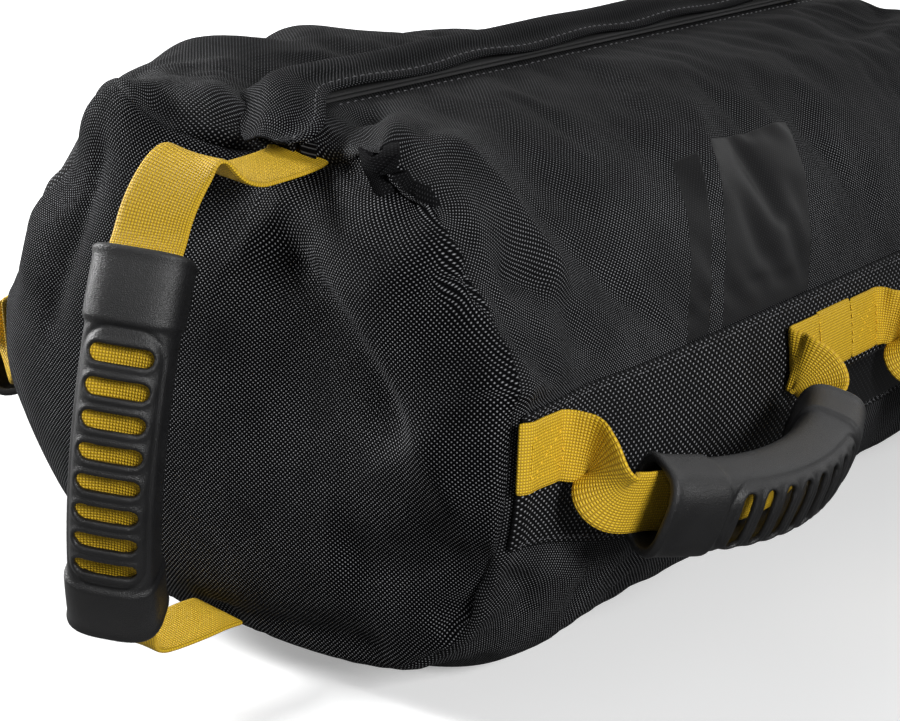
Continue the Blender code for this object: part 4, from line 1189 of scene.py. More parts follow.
def hidden_folds():
    """Folds on what the photograph doesn't show: drags from both ends, and long soft ones."""
    folds = []
    for side in (-1, 1):
        for turn in FAR_DRAG_SHARES if side > 0 else NEAR_DRAG_SHARES:
            wave = sin(turn * DRAG_WAVES)
            girth = GIRTH * turn
            length = DRAG_LENGTH + DRAG_LENGTH_WAVE * wave
            start = (side * HALF_LENGTH, girth)
            middle = (side * (HALF_LENGTH - DRAG_BEND), girth + DRAG_SHIFT * wave)
            stop = (side * (HALF_LENGTH - length), girth + DRAG_END_SHIFT * wave)
            height = -(DRAG_DEPTH + DRAG_DEPTH_WAVE * wave)
            folds.append(((start, middle, stop), height, *DRAG_FORM))
    for (low, high), turn, depth in LONG_FOLDS:
        girth = GIRTH * turn
        middle = ((low + high) / 2, girth + LONG_FOLD_BOW)
        spots = ((low, girth), middle, (high, girth + LONG_FOLD_DRIFT))
        folds.append((spots, depth, *LONG_FOLD_FORM))
    return folds


def settled(piece, free):
    """Let the fabric settle: a cloth simulation under the fill's pressure, with some slack."""
    mesh = piece.data
    before = read_places(mesh)
    held = piece.vertex_groups.new(name="held")
    for index, value in enumerate(free):
        held.add([index], float(1 - LOOSEST_SHARE * value), "REPLACE")
    cloth = modifier(piece, "CLOTH")
    for key, value in CLOTH.items():
        setattr(cloth.settings, key, value)
    cloth.settings.vertex_group_mass = held.name
    cloth.settings.shrink_min = -bpy.context.scene.sandbag_sizes.slack
    cloth.settings.effector_weights.gravity = 0
    cloth.collision_settings.use_collision = False
    cloth.point_cache.frame_start = 1
    cloth.point_cache.frame_end = SETTLE_FRAMES
    scene = bpy.context.scene
    for number in range(1, SETTLE_FRAMES + 1):
        scene.frame_set(number)
    result = evaluated_mesh(piece, "settled")
    after = read_places(result)
    scene.frame_set(1)
    piece.modifiers.remove(cloth)
    piece.vertex_groups.remove(held)
    bpy.data.meshes.remove(result)
    moved = (after - before) * free[:, None]
    end = np.where(read_attribute(mesh, "cap") != 0, np.sign(before[:, 0]), 0)
    moved[:, 0] = moved[:, 0] - end * np.maximum(moved[:, 0] * end, 0)
    length = np.linalg.norm(moved, axis=1, keepdims=True)
    moved = moved * np.minimum(1, SETTLE_CAP / np.maximum(length, 1e-9))
    after = before + moved
    after[:, 2] = np.maximum(after[:, 2], 0)
    write_places(mesh, after)


class Cover:
    """The shaped body panel, read by distance along the bag and round its girth."""

    def __init__(self, mesh):
        row, column = read_attribute(mesh, "row"), read_attribute(mesh, "column")
        on_body = row > 0
        self.places = np.zeros((ROWS + 1, COLUMNS + 1, 3))
        self.places[row[on_body] - 1, column[on_body] - 1] = read_places(mesh)[on_body]
        along = np.gradient(self.places, axis=0)
        round_ = np.gradient(self.places, axis=1)
        self.normals = unit(np.cross(along, round_))
        outward = self.places[ROWS // 2, COLUMNS // 4] - (0, 0, BAG_HEIGHT / 2)
        if self.normals[ROWS // 2, COLUMNS // 4] @ outward < 0:
            self.normals = -self.normals

    def blend(self, values, x, girth):
        """Values of the grid, read between its points."""
        x, girth = np.broadcast_arrays(np.asarray(x, float), np.mod(girth, GIRTH))
        u = np.interp(x, ROW_PLACES, np.arange(ROWS + 1))
        v = np.interp(girth, COLUMN_GIRTHS, np.arange(COLUMNS + 1))
        i, j = np.minimum(u.astype(int), ROWS - 1), np.minimum(v.astype(int), COLUMNS - 1)
        s, t = (u - i)[..., None], (v - j)[..., None]
        low = values[i, j] * (1 - t) + values[i, j + 1] * t
        high = values[i + 1, j] * (1 - t) + values[i + 1, j + 1] * t
        return low * (1 - s) + high * s

    def normal(self, x, girth):
        """The outward direction at places on the panel."""
        return unit(self.blend(self.normals, x, girth))

    def at(self, x, girth, lift=0.0):
        """Places on the panel, or lifted off it."""
        lift = np.asarray(lift)[..., None] if np.ndim(lift) else lift
        return self.blend(self.places, x, girth) + self.normal(x, girth) * lift


_cover = []


def cover():
    """The shaped surface that the other pieces lie on."""
    if not _cover:
        raise RuntimeError("The bag's panels come first")
    return _cover[0]


class BagOperator(bpy.types.Operator):
    """Build the crumpled body panel and both end panels"""

    bl_idname = "sandbag.bag"
    bl_label = "Bag panels"

    def execute(self, context):
        whole = mesh_from(shell(), "shell")
        pulled(whole)
        free = seats(whole)
        piece = linked("shell", whole)
        settled(piece, free)
        folded(whole, free)
        _cover.append(Cover(whole))
        names = {"body_cover": "body_panel", "end_cover_near": "end_panel_near",
                 "end_cover_far": "end_panel_far"}
        for panel, (name, node) in enumerate(names.items()):
            bm = bmesh.new()
            bm.from_mesh(whole)
            key = bm.faces.layers.int["panel"]
            others = [f for f in bm.faces if f[key] != panel]
            bmesh.ops.delete(bm, geom=others, context="FACES")
            if panel == 0:
                self.hem(bm)
            made = object_from(bm, name, "fabric" if panel else "filmed", "bag")
            smoothed(made)
            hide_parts(node)
        bpy.data.objects.remove(piece, do_unlink=True)
        return {"FINISHED"}

    def hem(self, bm):
        """Turn the panel's two zip edges down and under, so that they have thickness."""
        row, column = (bm.verts.layers.int[key] for key in ("row", "column"))
        for edge_column, back in ((1, 1), (COLUMNS + 1, -1)):
            for drop, inwards in ((FABRIC, 0), (0, ZIP_HEM)):
                edges = [e for e in bm.edges if e.is_boundary
                         and all(v[column] == edge_column for v in e.verts)
                         and all(1 <= v[row] <= ROWS + 1 for v in e.verts)]
                made = bmesh.ops.extrude_edge_only(bm, edges=edges)
                verts = [v for v in made["geom"] if isinstance(v, bmesh.types.BMVert)]
                for vert in verts:
                    vert.co.z -= drop + HEM_FALL_SHARE * inwards
                    vert.co.y -= back * inwards


def strip_on(name, xs, girths, lift, thickness, material_name):
    """A flat strip sewn on the shaped panel, from distances along and round it."""
    bm, row, column = grid_mesh(len(xs) - 1, len(girths) - 1)
    xs, girths = np.asarray(xs), np.asarray(girths)
    set_places(bm, cover().at(xs[row], girths[column], lift))
    set_uv(bm, np.stack((xs[row], girths[column]), axis=-1))
    made = object_from(bm, name, material_name, "bag")
    faced(made, Vector(cover().normal(xs[len(xs) // 2], girths[len(girths) // 2])))
    walled(made, thickness, 1.0)
    smoothed(made)
    return made


def both_sides(girths):
    """Girths on the front, and their mates on the back."""
    return {"front": np.asarray(girths), "back": GIRTH - np.asarray(girths)[::-1]}


class BandsOperator(bpy.types.Operator):
    """Build the wide black webbing bands along both sides"""

    bl_idname = "sandbag.bands"
    bl_label = "Side bands"

    def execute(self, context):
        xs = np.linspace(-HALF_LENGTH + SEAM_INSET, HALF_LENGTH - SEAM_INSET, 121)
        girths = np.linspace(BAND_TOP, BAND_BOTTOM, 15)
        for side_name, where in both_sides(girths).items():
            made = strip_on(f"band_cover_{side_name}", xs, where, TOUCH, BAND_THICKNESS, "band")
            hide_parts(f"side_band_{side_name}")
        return {"FINISHED"}


def handle_frame(name):
    """A handle's own axes from its joints: X along it, Y outwards, from its roots' middle."""
    swing = JOINTS[f"{name}_swing"]
    grip = JOINTS[f"{grip_body(name)}_slide"]
    middle = Vector(swing["pos_m"])
    along = Vector(swing["axis"]).normalized()
    if name.startswith("side"):
        along = -along
    out = middle - Vector(grip["pos_m"])
    out = (out - along * out.dot(along)).normalized()
    turned = Matrix((along, out, along.cross(out))).transposed().to_4x4()
    return Matrix.Translation(middle) @ turned


def grip_body(name):
    """The body that a handle's grip slides with."""
    return name.replace("_handle_", "_grip_")


def grip_twist(name):
    """How far a grip has turned about its own chord, from where it was sewn."""
    if name.startswith("side"):
        return SIDE_TWIST
    return END_TWIST if name.endswith("near") else 0.0


def arc_centre(stand_off):
    """The centre of a grip's arc, in its handle's own axes."""
    return Vector((0, stand_off - GRIP_RADIUS * cos(GRIP_HALF_TURN), 0))


def loop_route(half_span, stand_off, lean, inside_shift, turn_to):
    """The webbing's middle line in a handle's own axes, and its share of the roots' lean.

    Where that share falls to nothing, in the grip, the webbing takes the grip's own turn.
    """
    centre = arc_centre(stand_off)
    half_turn = GRIP_HALF_TURN + MOUTH_LEAD
    mouth = Vector((-GRIP_RADIUS * sin(half_turn), GRIP_RADIUS * cos(half_turn), 0)) + centre
    slope = Vector((cos(half_turn), sin(half_turn), 0))
    root = Vector((-half_span, 0, 0))
    lead = Matrix.Rotation(lean, 3, "X") @ Vector((0, stand_off * ROOT_LEAD_SHARE, 0))
    shape = (root, root + lead, mouth - slope * stand_off * MOUTH_LEAD_SHARE, mouth)
    rise = []
    for t in np.linspace(0, 1, 14, endpoint=False):
        a, b, c, d = shape
        s = 1 - t
        point = a * s**3 + b * (3 * s * s * t) + c * (3 * s * t * t) + d * t**3
        rise.append((point, 1 - smooth_step(t)))
    arc = []
    for turn in np.linspace(-half_turn, half_turn, 33):
        inward = smooth_step((half_turn - abs(turn)) / MOUTH_EASE)
        reach = GRIP_RADIUS + inside_shift * inward
        arc.append((Vector((reach * sin(turn), reach * cos(turn), 0)) + centre, 0))
    fall = [(Vector((-p.x, p.y, p.z)), share) for p, share in reversed(rise)]
    about = Vector((0, stand_off, 0))
    return [(Matrix.Rotation(turn_to * (1 - share), 3, "X") @ (point - about) + about, share)
            for point, share in rise + arc + fall]


def webbing_strip(name, centres, wides, cup=0.0):
    """A strip of webbing along its middle line, with the direction of its width at each place.

    Its edges turn up by its cup.
    """
    centres, wides = np.asarray(centres, float), unit(np.asarray(wides, float))
    for k in range(1, len(wides)):
        if wides[k] @ wides[k - 1] < 0:
            wides[k] = -wides[k]
    ahead = unit(np.gradient(centres, axis=0))
    wides = unit(wides - ahead * (wides * ahead).sum(axis=1, keepdims=True))
    out = np.cross(ahead, wides)
    cup = np.broadcast_to(cup, len(centres))
    lengths = reach_along(centres)
    columns = 8
    bm, row, column = grid_mesh(len(centres) - 1, columns)
    across = column / (columns / 2) - 1
    place = centres[row] + wides[row] * (across * WEBBING_WIDTH / 2)[:, None]
    place = place + out[row] * (cup[row] * across**2)[:, None]
    set_places(bm, place)
    set_uv(bm, np.stack((lengths[row], across * WEBBING_WIDTH / 2), axis=-1))
    made = object_from(bm, name, "yellow", None)
    walled(made, WEBBING_THICKNESS, 0.0)
    smoothed(made)
    return made


def blended(piece):
    """Bake a webbing strip's place into its mesh; it rides on no body."""
    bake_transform(piece)


def roots_of(name):
    """A side handle's two sewn places, along and round the bag, in its own order."""
    side = -1 if name.endswith("near") else 1
    back = "_back_" in name
    girth = GIRTH - STRAP_GIRTH if back else STRAP_GIRTH
    places = sorted((side * ROOT_OUTER, side * ROOT_INNER), reverse=back)
    return [(x, girth) for x in places]


class WebbingOperator(bpy.types.Operator):
    """Build the yellow webbing of all six handles, with its sewn ends"""

    bl_idname = "sandbag.webbing"
    bl_label = "Handle webbing"

    def execute(self, context):
        for name in HANDLES:
            if name.startswith("side"):
                self.side_webbing(name)
            else:
                self.end_webbing(name)
        self.middle_straps()
        self.end_tabs()
        return {"FINISHED"}

    def side_webbing(self, name):
        """A loop that lies flat on the band beyond its roots and turns out to the grip."""
        frame_now = handle_frame(name)
        roots = roots_of(name)
        spots = [Vector(skin(*place)) for place in roots]
        half_span = (spots[1] - spots[0]).length / 2 - ROOT_INSET
        route = loop_route(half_span, SIDE_STAND_OFF, -SIDE_DROOP, -SIDE_STRAP_DEPTH, SIDE_TWIST)
        turn = frame_now.to_3x3()
        centres = [frame_now @ point for point, _ in route]
        wides = [turn @ (Matrix.Rotation(-SIDE_DROOP * share + SIDE_TWIST * (1 - share), 3, "X")
                         @ Vector((0, 0, 1))) for _, share in route]
        if abs(roots[0][0]) < abs(roots[1][0]):
            for line in (centres, wides, roots):
                line.reverse()
        start, girth = roots[0]
        stop, _ = roots[1]
        outwards = 1 if start > 0 else -1
        tab = np.linspace(start + outwards * TAB_LENGTH, start + outwards * TAB_GAP, 9)
        inner = np.linspace(stop - outwards * TAIL_GAP, stop - outwards * OVERLAP, 6)
        flat, up = self.sewn(tab, girth)
        tail, tail_up = self.sewn(inner, girth)
        path = flat + centres[2:-2] + tail
        wide = up + wides[2:-2] + tail_up
        path, wide, _ = self.even(path, wide, [0] * len(path))
        made = webbing_strip(f"{name}_strap", path, wide)
        square = Vector(cover().normal(start, girth))
        blended(made)
        where = name.replace("side_handle_", "side_strap_")
        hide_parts(f"{name}_webbing", where)

    def sewn(self, xs, girth):
        """Webbing sewn flat on the band: its places, and the direction of its width at each."""
        flat = [Vector(cover().at(x, girth, STRAP_LIFT + WEBBING_THICKNESS / 2)) for x in xs]
        up = [Vector(cover().at(x, girth - PROBE) - cover().at(x, girth + PROBE)) for x in xs]
        return flat, up

    def end_webbing(self, name):
        """A loop from the top of the end seam through the grip to its bottom."""
        frame_now = handle_frame(name)
        twist = grip_twist(name)
        turn = frame_now.to_3x3()
        near = name.endswith("near")
        side = -1 if near else 1
        edge = side * HALF_LENGTH
        top, bottom = Vector(skin(edge, 0)), Vector(skin(edge, GIRTH / 2))
        height = top.z - FABRIC - END_ROOT_DROP - bottom.z - END_ROOT_RISE
        half_span = sqrt(height**2 + (top.y - bottom.y) ** 2) / 2 - ROOT_INSET
        route = loop_route(half_span, END_STAND_OFF, 0, END_STRAP_RISE, twist)
        centres = []
        for point, share in route:
            hump = 4 * share * (1 - share) if near and point.x > 0 else 0
            point = point + Vector((TOP_FOLD_RISE, -TOP_FOLD_INSET, 0)) * hump
            centres.append(frame_now @ point)
        wides = [turn @ (Matrix.Rotation(twist * (1 - share), 3, "X") @ Vector((0, 0, 1)))
                 for _, share in route]
        cup = [-CUP_DEPTH * float(smooth_step((GRIP_CHORD / 2 - CUP_END - abs(p.x)) / CUP_EASE))
               for p, _ in route]
        over = Vector(cover().at(edge, 0.0)) + Vector((side * SEAM_STEP, 0, -SEAM_DIP))
        tuck_top = Vector(cover().at(edge - side * TUCK_TOP, 0.0, -TAB_DEPTH))
        tuck_bottom = centres[0] + Vector((-side * TUCK_BOTTOM, 0, -SEAM_DIP))
        path = [tuck_bottom] + centres + [over, tuck_top]
        wide = [wides[0]] + wides + [wides[-1]] * 2
        path, wide, cup = self.even(path, wide, [0] + cup + [0, 0])
        made = webbing_strip(f"{name}_strap", path, wide, cup)
        blended(made)
        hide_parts(f"{name}_webbing")

    def even(self, path, wide, cup):
        """The same run at even steps along a smooth curve."""
        path = along_curve([list(p) for p in path], 5)
        wide = along_curve([list(unit(np.array(w))) for w in wide], 5)
        reach = reach_along(path)
        goal = np.linspace(0, reach[-1], int(reach[-1] / WEBBING_STEP) + 1)
        cup = np.interp(np.linspace(0, len(cup) - 1, len(reach)), np.arange(len(cup)), cup)
        path, wide = points_at(goal, reach, path), points_at(goal, reach, wide)
        return path, wide, np.interp(goal, reach, cup)

    def middle_straps(self):
        """The webbing sewn flat between the two handles of each side."""
        edges = (STRAP_GIRTH - WEBBING_WIDTH / 2, STRAP_GIRTH + WEBBING_WIDTH / 2)
        xs = np.linspace(-ROOT_INNER + OVERLAP + TOUCH, ROOT_INNER - OVERLAP - TOUCH, 31)
        for side_name, where in both_sides(np.linspace(*edges, 9)).items():
            made = strip_on(f"middle_strap_{side_name}", xs, where, STRAP_LIFT,
                            WEBBING_THICKNESS, "yellow")
            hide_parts(f"side_strap_{side_name}_middle")

    def end_tabs(self):
        """The ends of the end handles' webbing, inside the seams."""
        half, count = WEBBING_WIDTH / 2, 6
        spread = np.linspace(HALF_LENGTH - END_TAB_START, HALF_LENGTH - END_TAB_STOP, count + 1)
        for end_name, side in (("near", -1), ("far", 1)):
            xs = side * spread
            for place_name, girth in (("top", 0.0), ("bottom", GIRTH / 2)):
                bm, row, column = grid_mesh(count, count)
                girths = girth + half * (column / (count / 2) - 1)
                set_places(bm, cover().at(xs[row], girths, -TAB_DEPTH))
                set_uv(bm, np.stack((xs[row], girths), axis=-1))
                made = object_from(bm, f"end_tab_cover_{end_name}_{place_name}", "yellow",
                                   "bag")
                walled(made, WEBBING_THICKNESS, 0.0)
                smoothed(made)
                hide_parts(f"end_tab_{end_name}_{place_name}")


def round_box(turn, half_depth, half_width):
    """A point of a box outline with round corners, as its depth and its width."""
    c, s = np.cos(turn), np.sin(turn)
    depth = half_depth * np.abs(c) ** GRIP_CORNER_SHARE * np.sign(c)
    width = half_width * np.abs(s) ** GRIP_CORNER_SHARE * np.sign(s)
    return depth, width


def on_arc(reach, turn, across):
    """Points on a grip, from the centre of its arc."""
    return np.stack((reach * np.sin(turn), reach * np.cos(turn), across), axis=-1)


def slot_distance(run, across):
    """How far a place on the grip's outer wall is from the nearest slot's edge."""
    nearest = np.round(run / SLOT_PITCH - 0.5) + 0.5
    limit = (SLOT_COUNT - 1) / 2
    centre = np.clip(nearest, -limit, limit) * SLOT_PITCH
    straight = (SLOT_LENGTH - SLOT_WIDTH) / 2
    beyond = np.maximum(np.abs(across) - straight, 0)
    return np.hypot(run - centre, beyond) - SLOT_WIDTH / 2


def zone_distance(run, across):
    """How far a place is from the outline round all the slots: negative inside it."""
    half_run = SLOT_COUNT * SLOT_PITCH / 2 + ZONE_END
    half_across = SLOT_LENGTH / 2 + ZONE_SIDE
    a = np.abs(run) - half_run + ZONE_CORNER
    b = np.abs(across) - half_across + ZONE_CORNER
    outside = np.hypot(np.maximum(a, 0), np.maximum(b, 0))
    return outside + np.minimum(np.maximum(a, b), 0) - ZONE_CORNER


def ridge(distance, height, centre, reach):
    """A soft rim, or a groove where its height is negative."""
    return height * np.exp(-((distance - centre) / reach) ** 2)


class GripsOperator(bpy.types.Operator):
    """Build the moulded grip once and place it on all six handles"""

    bl_idname = "sandbag.grips"
    bl_label = "Grips"

    def execute(self, context):
        mesh = self.moulded()
        for name in HANDLES:
            stand_off = SIDE_STAND_OFF if name.startswith("side") else END_STAND_OFF
            about = Matrix.Translation((0, stand_off, 0))
            turn = about @ Matrix.Rotation(grip_twist(name), 4, "X") @ about.inverted()
            place = handle_frame(name) @ turn @ Matrix.Translation(arc_centre(stand_off))
            copy = mesh.copy()
            copy.transform(place)
            made = object_with(copy, f"{name}_moulding", "rubber", grip_body(name))
            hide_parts(f"{name}_grip")
        bpy.data.meshes.remove(mesh)
        return {"FINISHED"}

    def wall(self, rows, sides, inner):
        """The outer or the inner face of the grip, as a closed tube round the arc."""
        bm, row, column = grid_mesh(rows, sides)
        half = GRIP_HALF_TURN
        turn = -half + 2 * half * row / rows
        around = 2 * pi * column / sides
        run = turn * GRIP_RADIUS
        end_gap = (half - np.abs(turn)) * GRIP_RADIUS
        if inner:
            mouth = 1 - smooth_step(end_gap / MOUTH_DEPTH)
            lift = -GRIP_WALL + GRIP_PROUD * MOUTH_FLARE_SHARE * mouth
        else:
            collar = 1 - smooth_step((end_gap - GRIP_COLLAR + COLLAR_BACK) / COLLAR_EASE)
            lift = GRIP_PROUD * collar + ridge(end_gap, *MOUTH_LIP) + ridge(end_gap, *MOUTH_EDGE)
        depth, width = round_box(around, GRIP_DEPTH / 2 + lift, GRIP_WIDTH / 2 + lift)
        if not inner:
            front = smooth_step(np.cos(around) * FRONT_SPREAD)
            rim = ridge(slot_distance(run, width), *SLOT_RIM)
            groove = ridge(zone_distance(run, width), *ZONE_GROOVE)
            depth = depth + (rim + groove) * front
        set_places(bm, on_arc(GRIP_RADIUS + depth, turn, width))
        bmesh.ops.remove_doubles(bm, verts=bm.verts, dist=MERGE)
        return bm

    def moulded(self):
        """The grip in its arc's own axes: two walls, closed at the mouths, with slots cut."""
        whole = bmesh.new()
        sides, rows = 96, 240
        for inner in (False, True):
            bm = self.wall(rows, sides, inner)
            bmesh.ops.recalc_face_normals(bm, faces=bm.faces)
            if inner:
                bmesh.ops.reverse_faces(bm, faces=bm.faces)
            join_into(whole, bm)
        ends = [e for e in whole.edges if e.is_boundary]
        for side in (-1, 1):
            mouth = [e for e in ends if e.verts[0].co.x * side > 0]
            bmesh.ops.bridge_loops(whole, edges=mouth)
        bmesh.ops.recalc_face_normals(whole, faces=whole.faces)
        solid = linked("grip_solid", mesh_from(whole, "grip_solid"))
        cutter = self.slots()
        modifier(solid, "BOOLEAN", object=cutter, operation="DIFFERENCE", solver="EXACT")
        modifier(solid, "REMESH", mode="VOXEL", voxel_size=GRIP_VOXEL)
        modifier(solid, "SMOOTH", factor=0.5, iterations=3)
        made = evaluated_mesh(solid, "grip")
        for item in (solid, cutter):
            bpy.data.objects.remove(item, do_unlink=True)
        return made

    def slots(self):
        """Eight cutters with round ends, standing on the arc."""
        bm = bmesh.new()
        straight = (SLOT_LENGTH - SLOT_WIDTH) / 2
        for k in range(SLOT_COUNT):
            turn = (k - (SLOT_COUNT - 1) / 2) * SLOT_PITCH / GRIP_RADIUS
            verts = []
            for j in range(SLOT_SIDES):
                angle = 2 * pi * j / SLOT_SIDES
                shift = straight if cos(angle) > 0 else -straight
                x = SLOT_WIDTH / 2 * sin(angle)
                z = shift + SLOT_WIDTH / 2 * cos(angle)
                verts.append(bm.verts.new((x, GRIP_RADIUS + WEBBING_THICKNESS, z)))
            face = bm.faces.new(verts)
            made = bmesh.ops.extrude_face_region(bm, geom=[face])
            moved = [v for v in made["geom"] if isinstance(v, bmesh.types.BMVert)]
            bmesh.ops.translate(bm, verts=moved, vec=(0, GRIP_DEPTH, 0))
            bmesh.ops.rotate(bm, verts=verts + moved, cent=(0, 0, 0),
                             matrix=Matrix.Rotation(-turn, 3, "Z"))
        bmesh.ops.recalc_face_normals(bm, faces=bm.faces)
        return linked("slots", mesh_from(bm, "slots"))


class FlapOperator(bpy.types.Operator):
    """Build the zip's flap with its rolled hem, and the strips that hold it shut"""

    bl_idname = "sandbag.flap"
    bl_label = "Flap"

    def execute(self, context):
        low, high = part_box("zip_flap")
        near_x, far_x = low.x - FLAP_TIP_REACH, high.x
        section = along_curve(self.section(low, high), 4)
        reach = reach_along(section)
        bm, row, column = grid_mesh(FLAP_ROWS, len(section) - 1)
        x = near_x + (far_x - near_x) * row / FLAP_ROWS
        y, z = section[column].T
        wave = sum(np.sin(x * turns + phase) * share for turns, phase, share in FLAP_WAVES)
        free = smooth_step((FLAP_BACK - y) / (FLAP_BACK * 2))
        y = y + wave * FLAP_WAVE * free
        ripple = np.sin(x * FLAP_RIPPLE_TURNS + FLAP_RIPPLE_PHASE) * FLAP_RIPPLE
        z = z + ripple * free * (z > low.z + FLAP_RIPPLE_START)
        tip = 1 - smooth_step((x - near_x) / FLAP_TIP_ROUND)
        round_off = 1 - np.sqrt(np.clip(1 - tip**2, 0, 1))
        y = FLAP_TIP_PLACE + (y - FLAP_TIP_PLACE) * (1 - FLAP_TIP_NARROW_SHARE * round_off)
        droop = 1 - smooth_step((x - near_x) / FLAP_BEND)
        fall = FLAP_DROOP * droop**FLAP_DROOP_POWER
        y = y - FLAP_SWAY * droop
        z = z - fall
        shut = 1 - smooth_step((x - near_x) / FLAP_TIP_CLOSE)
        z = z + (low.z + FLAP_TIP_RISE - fall - z) * shut * FLAP_TIP_CLOSE_SHARE
        panel = cover().at(x, np.where(y > 0, GIRTH - np.maximum(y, ZIP_GAP / 2), 0.0))[:, 2]
        z = np.where(y > 0, np.maximum(z, panel + FLAP_CLEAR), z)
        set_places(bm, np.stack((x, y, z), axis=-1))
        set_uv(bm, np.stack((x, reach[column]), axis=-1))
        made = object_from(bm, "flap_cover", "fabric", "flap")
        faced(made, share=0.25)
        walled(made, FLAP_CLOTH, -1.0)
        smoothed(made)
        hem = int(np.argmin(np.abs(section[:, 0] + HEM_STITCH) + (section[:, 1] < low.z) * 1.0))
        line = np.stack((x, y, z), axis=-1)[column == hem]
        line = line[np.argsort(line[:, 0])]
        run = (line + (0, 0, HEM_STITCH_LIFT), line * 0 + (0, 0, 1))
        stitches("flap_stitching", [run], "thread", STITCH, body="flap")
        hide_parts("zip_flap")
        self.hook_and_loop()
        return {"FINISHED"}

    def section(self, low, high):
        """The flap's section between the bottom and the top of its node."""
        levels = {"sewn": low.z, "crest": high.z, "hem": low.z + HEM_RISE}
        return [(across, levels[level] + rise) for across, level, rise in FLAP_SECTION]

    def hook_and_loop(self):
        """The hook strip under the flap and the loop strip on the panel."""
        rows, columns = 90, 6
        for node, name, body in (("flap_hook_strip", "hook_cover", "flap"),
                                 ("flap_loop_strip", "loop_cover", "bag")):
            low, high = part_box(node)
            bm, row, column = grid_mesh(rows, columns)
            x = low.x + (high.x - low.x) * row / rows
            y = low.y + (high.y - low.y) * column / columns
            z = np.full_like(x, low.z + STRIP_GAP)
            set_places(bm, np.stack((x, y, z), axis=-1))
            set_uv(bm, np.stack((x, y), axis=-1))
            made = object_from(bm, name, "hook", body)
            faced(made)
            walled(made, high.z - low.z - STRIP_GAP * 2, 1.0)
            smoothed(made)
            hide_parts(node)


class ZipOperator(bpy.types.Operator):
    """Build the zip's tapes and teeth, and finish its slider, pull and stops"""

    bl_idname = "sandbag.zip"
    bl_label = "Zip"

    def execute(self, context):
        for side_name, sign in (("front", -1), ("back", 1)):
            self.tape(side_name, sign)
            self.teeth(side_name, sign)
        for node in ("zip_slider", "zip_pull", "zip_stop_near", "zip_stop_far_front",
                     "zip_stop_far_back"):
            self.metal(node)
        return {"FINISHED"}

    def tape(self, side_name, sign):
        """One tape, from just beside the teeth to under the panel."""
        rows, columns = 120, 8
        bm, row, column = grid_mesh(rows, columns)
        x = -HALF_LENGTH + SEAM_INSET * 2 + (HALF_LENGTH - SEAM_INSET * 2) * 2 * row / rows
        off = TAPE_EDGE + TAPE_WIDTH * column / columns
        girth = -sign * off
        zip_end = np.where(x > 0, ZIP_FAR, ZIP_NEAR) + ZIP_CLEAR
        beyond = smooth_step((np.abs(x) - zip_end) / ZIP_CLEAR)[:, None]
        place = skin(x, girth) * (1 - beyond) + cover().at(x, girth) * beyond
        place[:, 2] -= FABRIC + TOUCH + TAPE_THICKNESS
        set_places(bm, place)
        set_uv(bm, np.stack((x, off), axis=-1))
        made = object_from(bm, f"tape_cover_{side_name}", "tape", "bag")
        faced(made)
        walled(made, TAPE_THICKNESS, 0.0)
        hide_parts(f"zip_tape_{side_name}")

    def teeth(self, side_name, sign):
        """Moulded teeth in a row, each with a narrower waist towards the tape."""
        low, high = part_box(f"zip_teeth_{side_name}")
        count = int((high.x - low.x) / TOOTH_PITCH)
        bm = bmesh.new()
        for k in range(count):
            x = low.x + TOOTH_PITCH * (k + (0.5 if sign > 0 else 0.0)) + TOOTH_PITCH / 4
            for vert in bmesh.ops.create_cube(bm, size=1)["verts"]:
                tipward = vert.co.y * sign < 0
                half = TOOTH_PITCH * (TOOTH_TIP_SHARE if tipward else TOOTH_WAIST_SHARE)
                vert.co = (x + vert.co.x * 2 * half,
                           (low.y + high.y) / 2 + vert.co.y * (high.y - low.y),
                           (low.z + high.z) / 2 + vert.co.z * (high.z - low.z))
        bmesh.ops.bevel(bm, geom=bm.edges[:], offset=TOOTH_ROUND, segments=2, profile=0.5,
                        affect="EDGES", material=-1)
        made = object_from(bm, f"teeth_row_{side_name}", "teeth", "bag",
                           smooth=False)
        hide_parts(f"zip_teeth_{side_name}")

    def metal(self, node):
        """Round a small metal piece's edges."""
        bm = bmesh.new()
        bm.from_mesh(bpy.data.objects[node].data)
        bmesh.ops.remove_doubles(bm, verts=bm.verts, dist=METAL_MERGE)
        bmesh.ops.dissolve_limit(bm, angle_limit=FLAT_ANGLE, verts=bm.verts, edges=bm.edges)
        sharp = [e for e in bm.edges if len(e.link_faces) == 2
                 and e.calc_face_angle(0) > SHARP_ANGLE]
        bmesh.ops.bevel(bm, geom=sharp, offset=METAL_ROUND, segments=2, profile=0.5,
                        affect="EDGES", material=-1, clamp_overlap=True)
        body = {"zip_slider": "slider", "zip_pull": "pull"}.get(node, "bag")
        made = object_from(bm, f"{node}_cast", "metal", body, smooth=False)
        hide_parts(node)


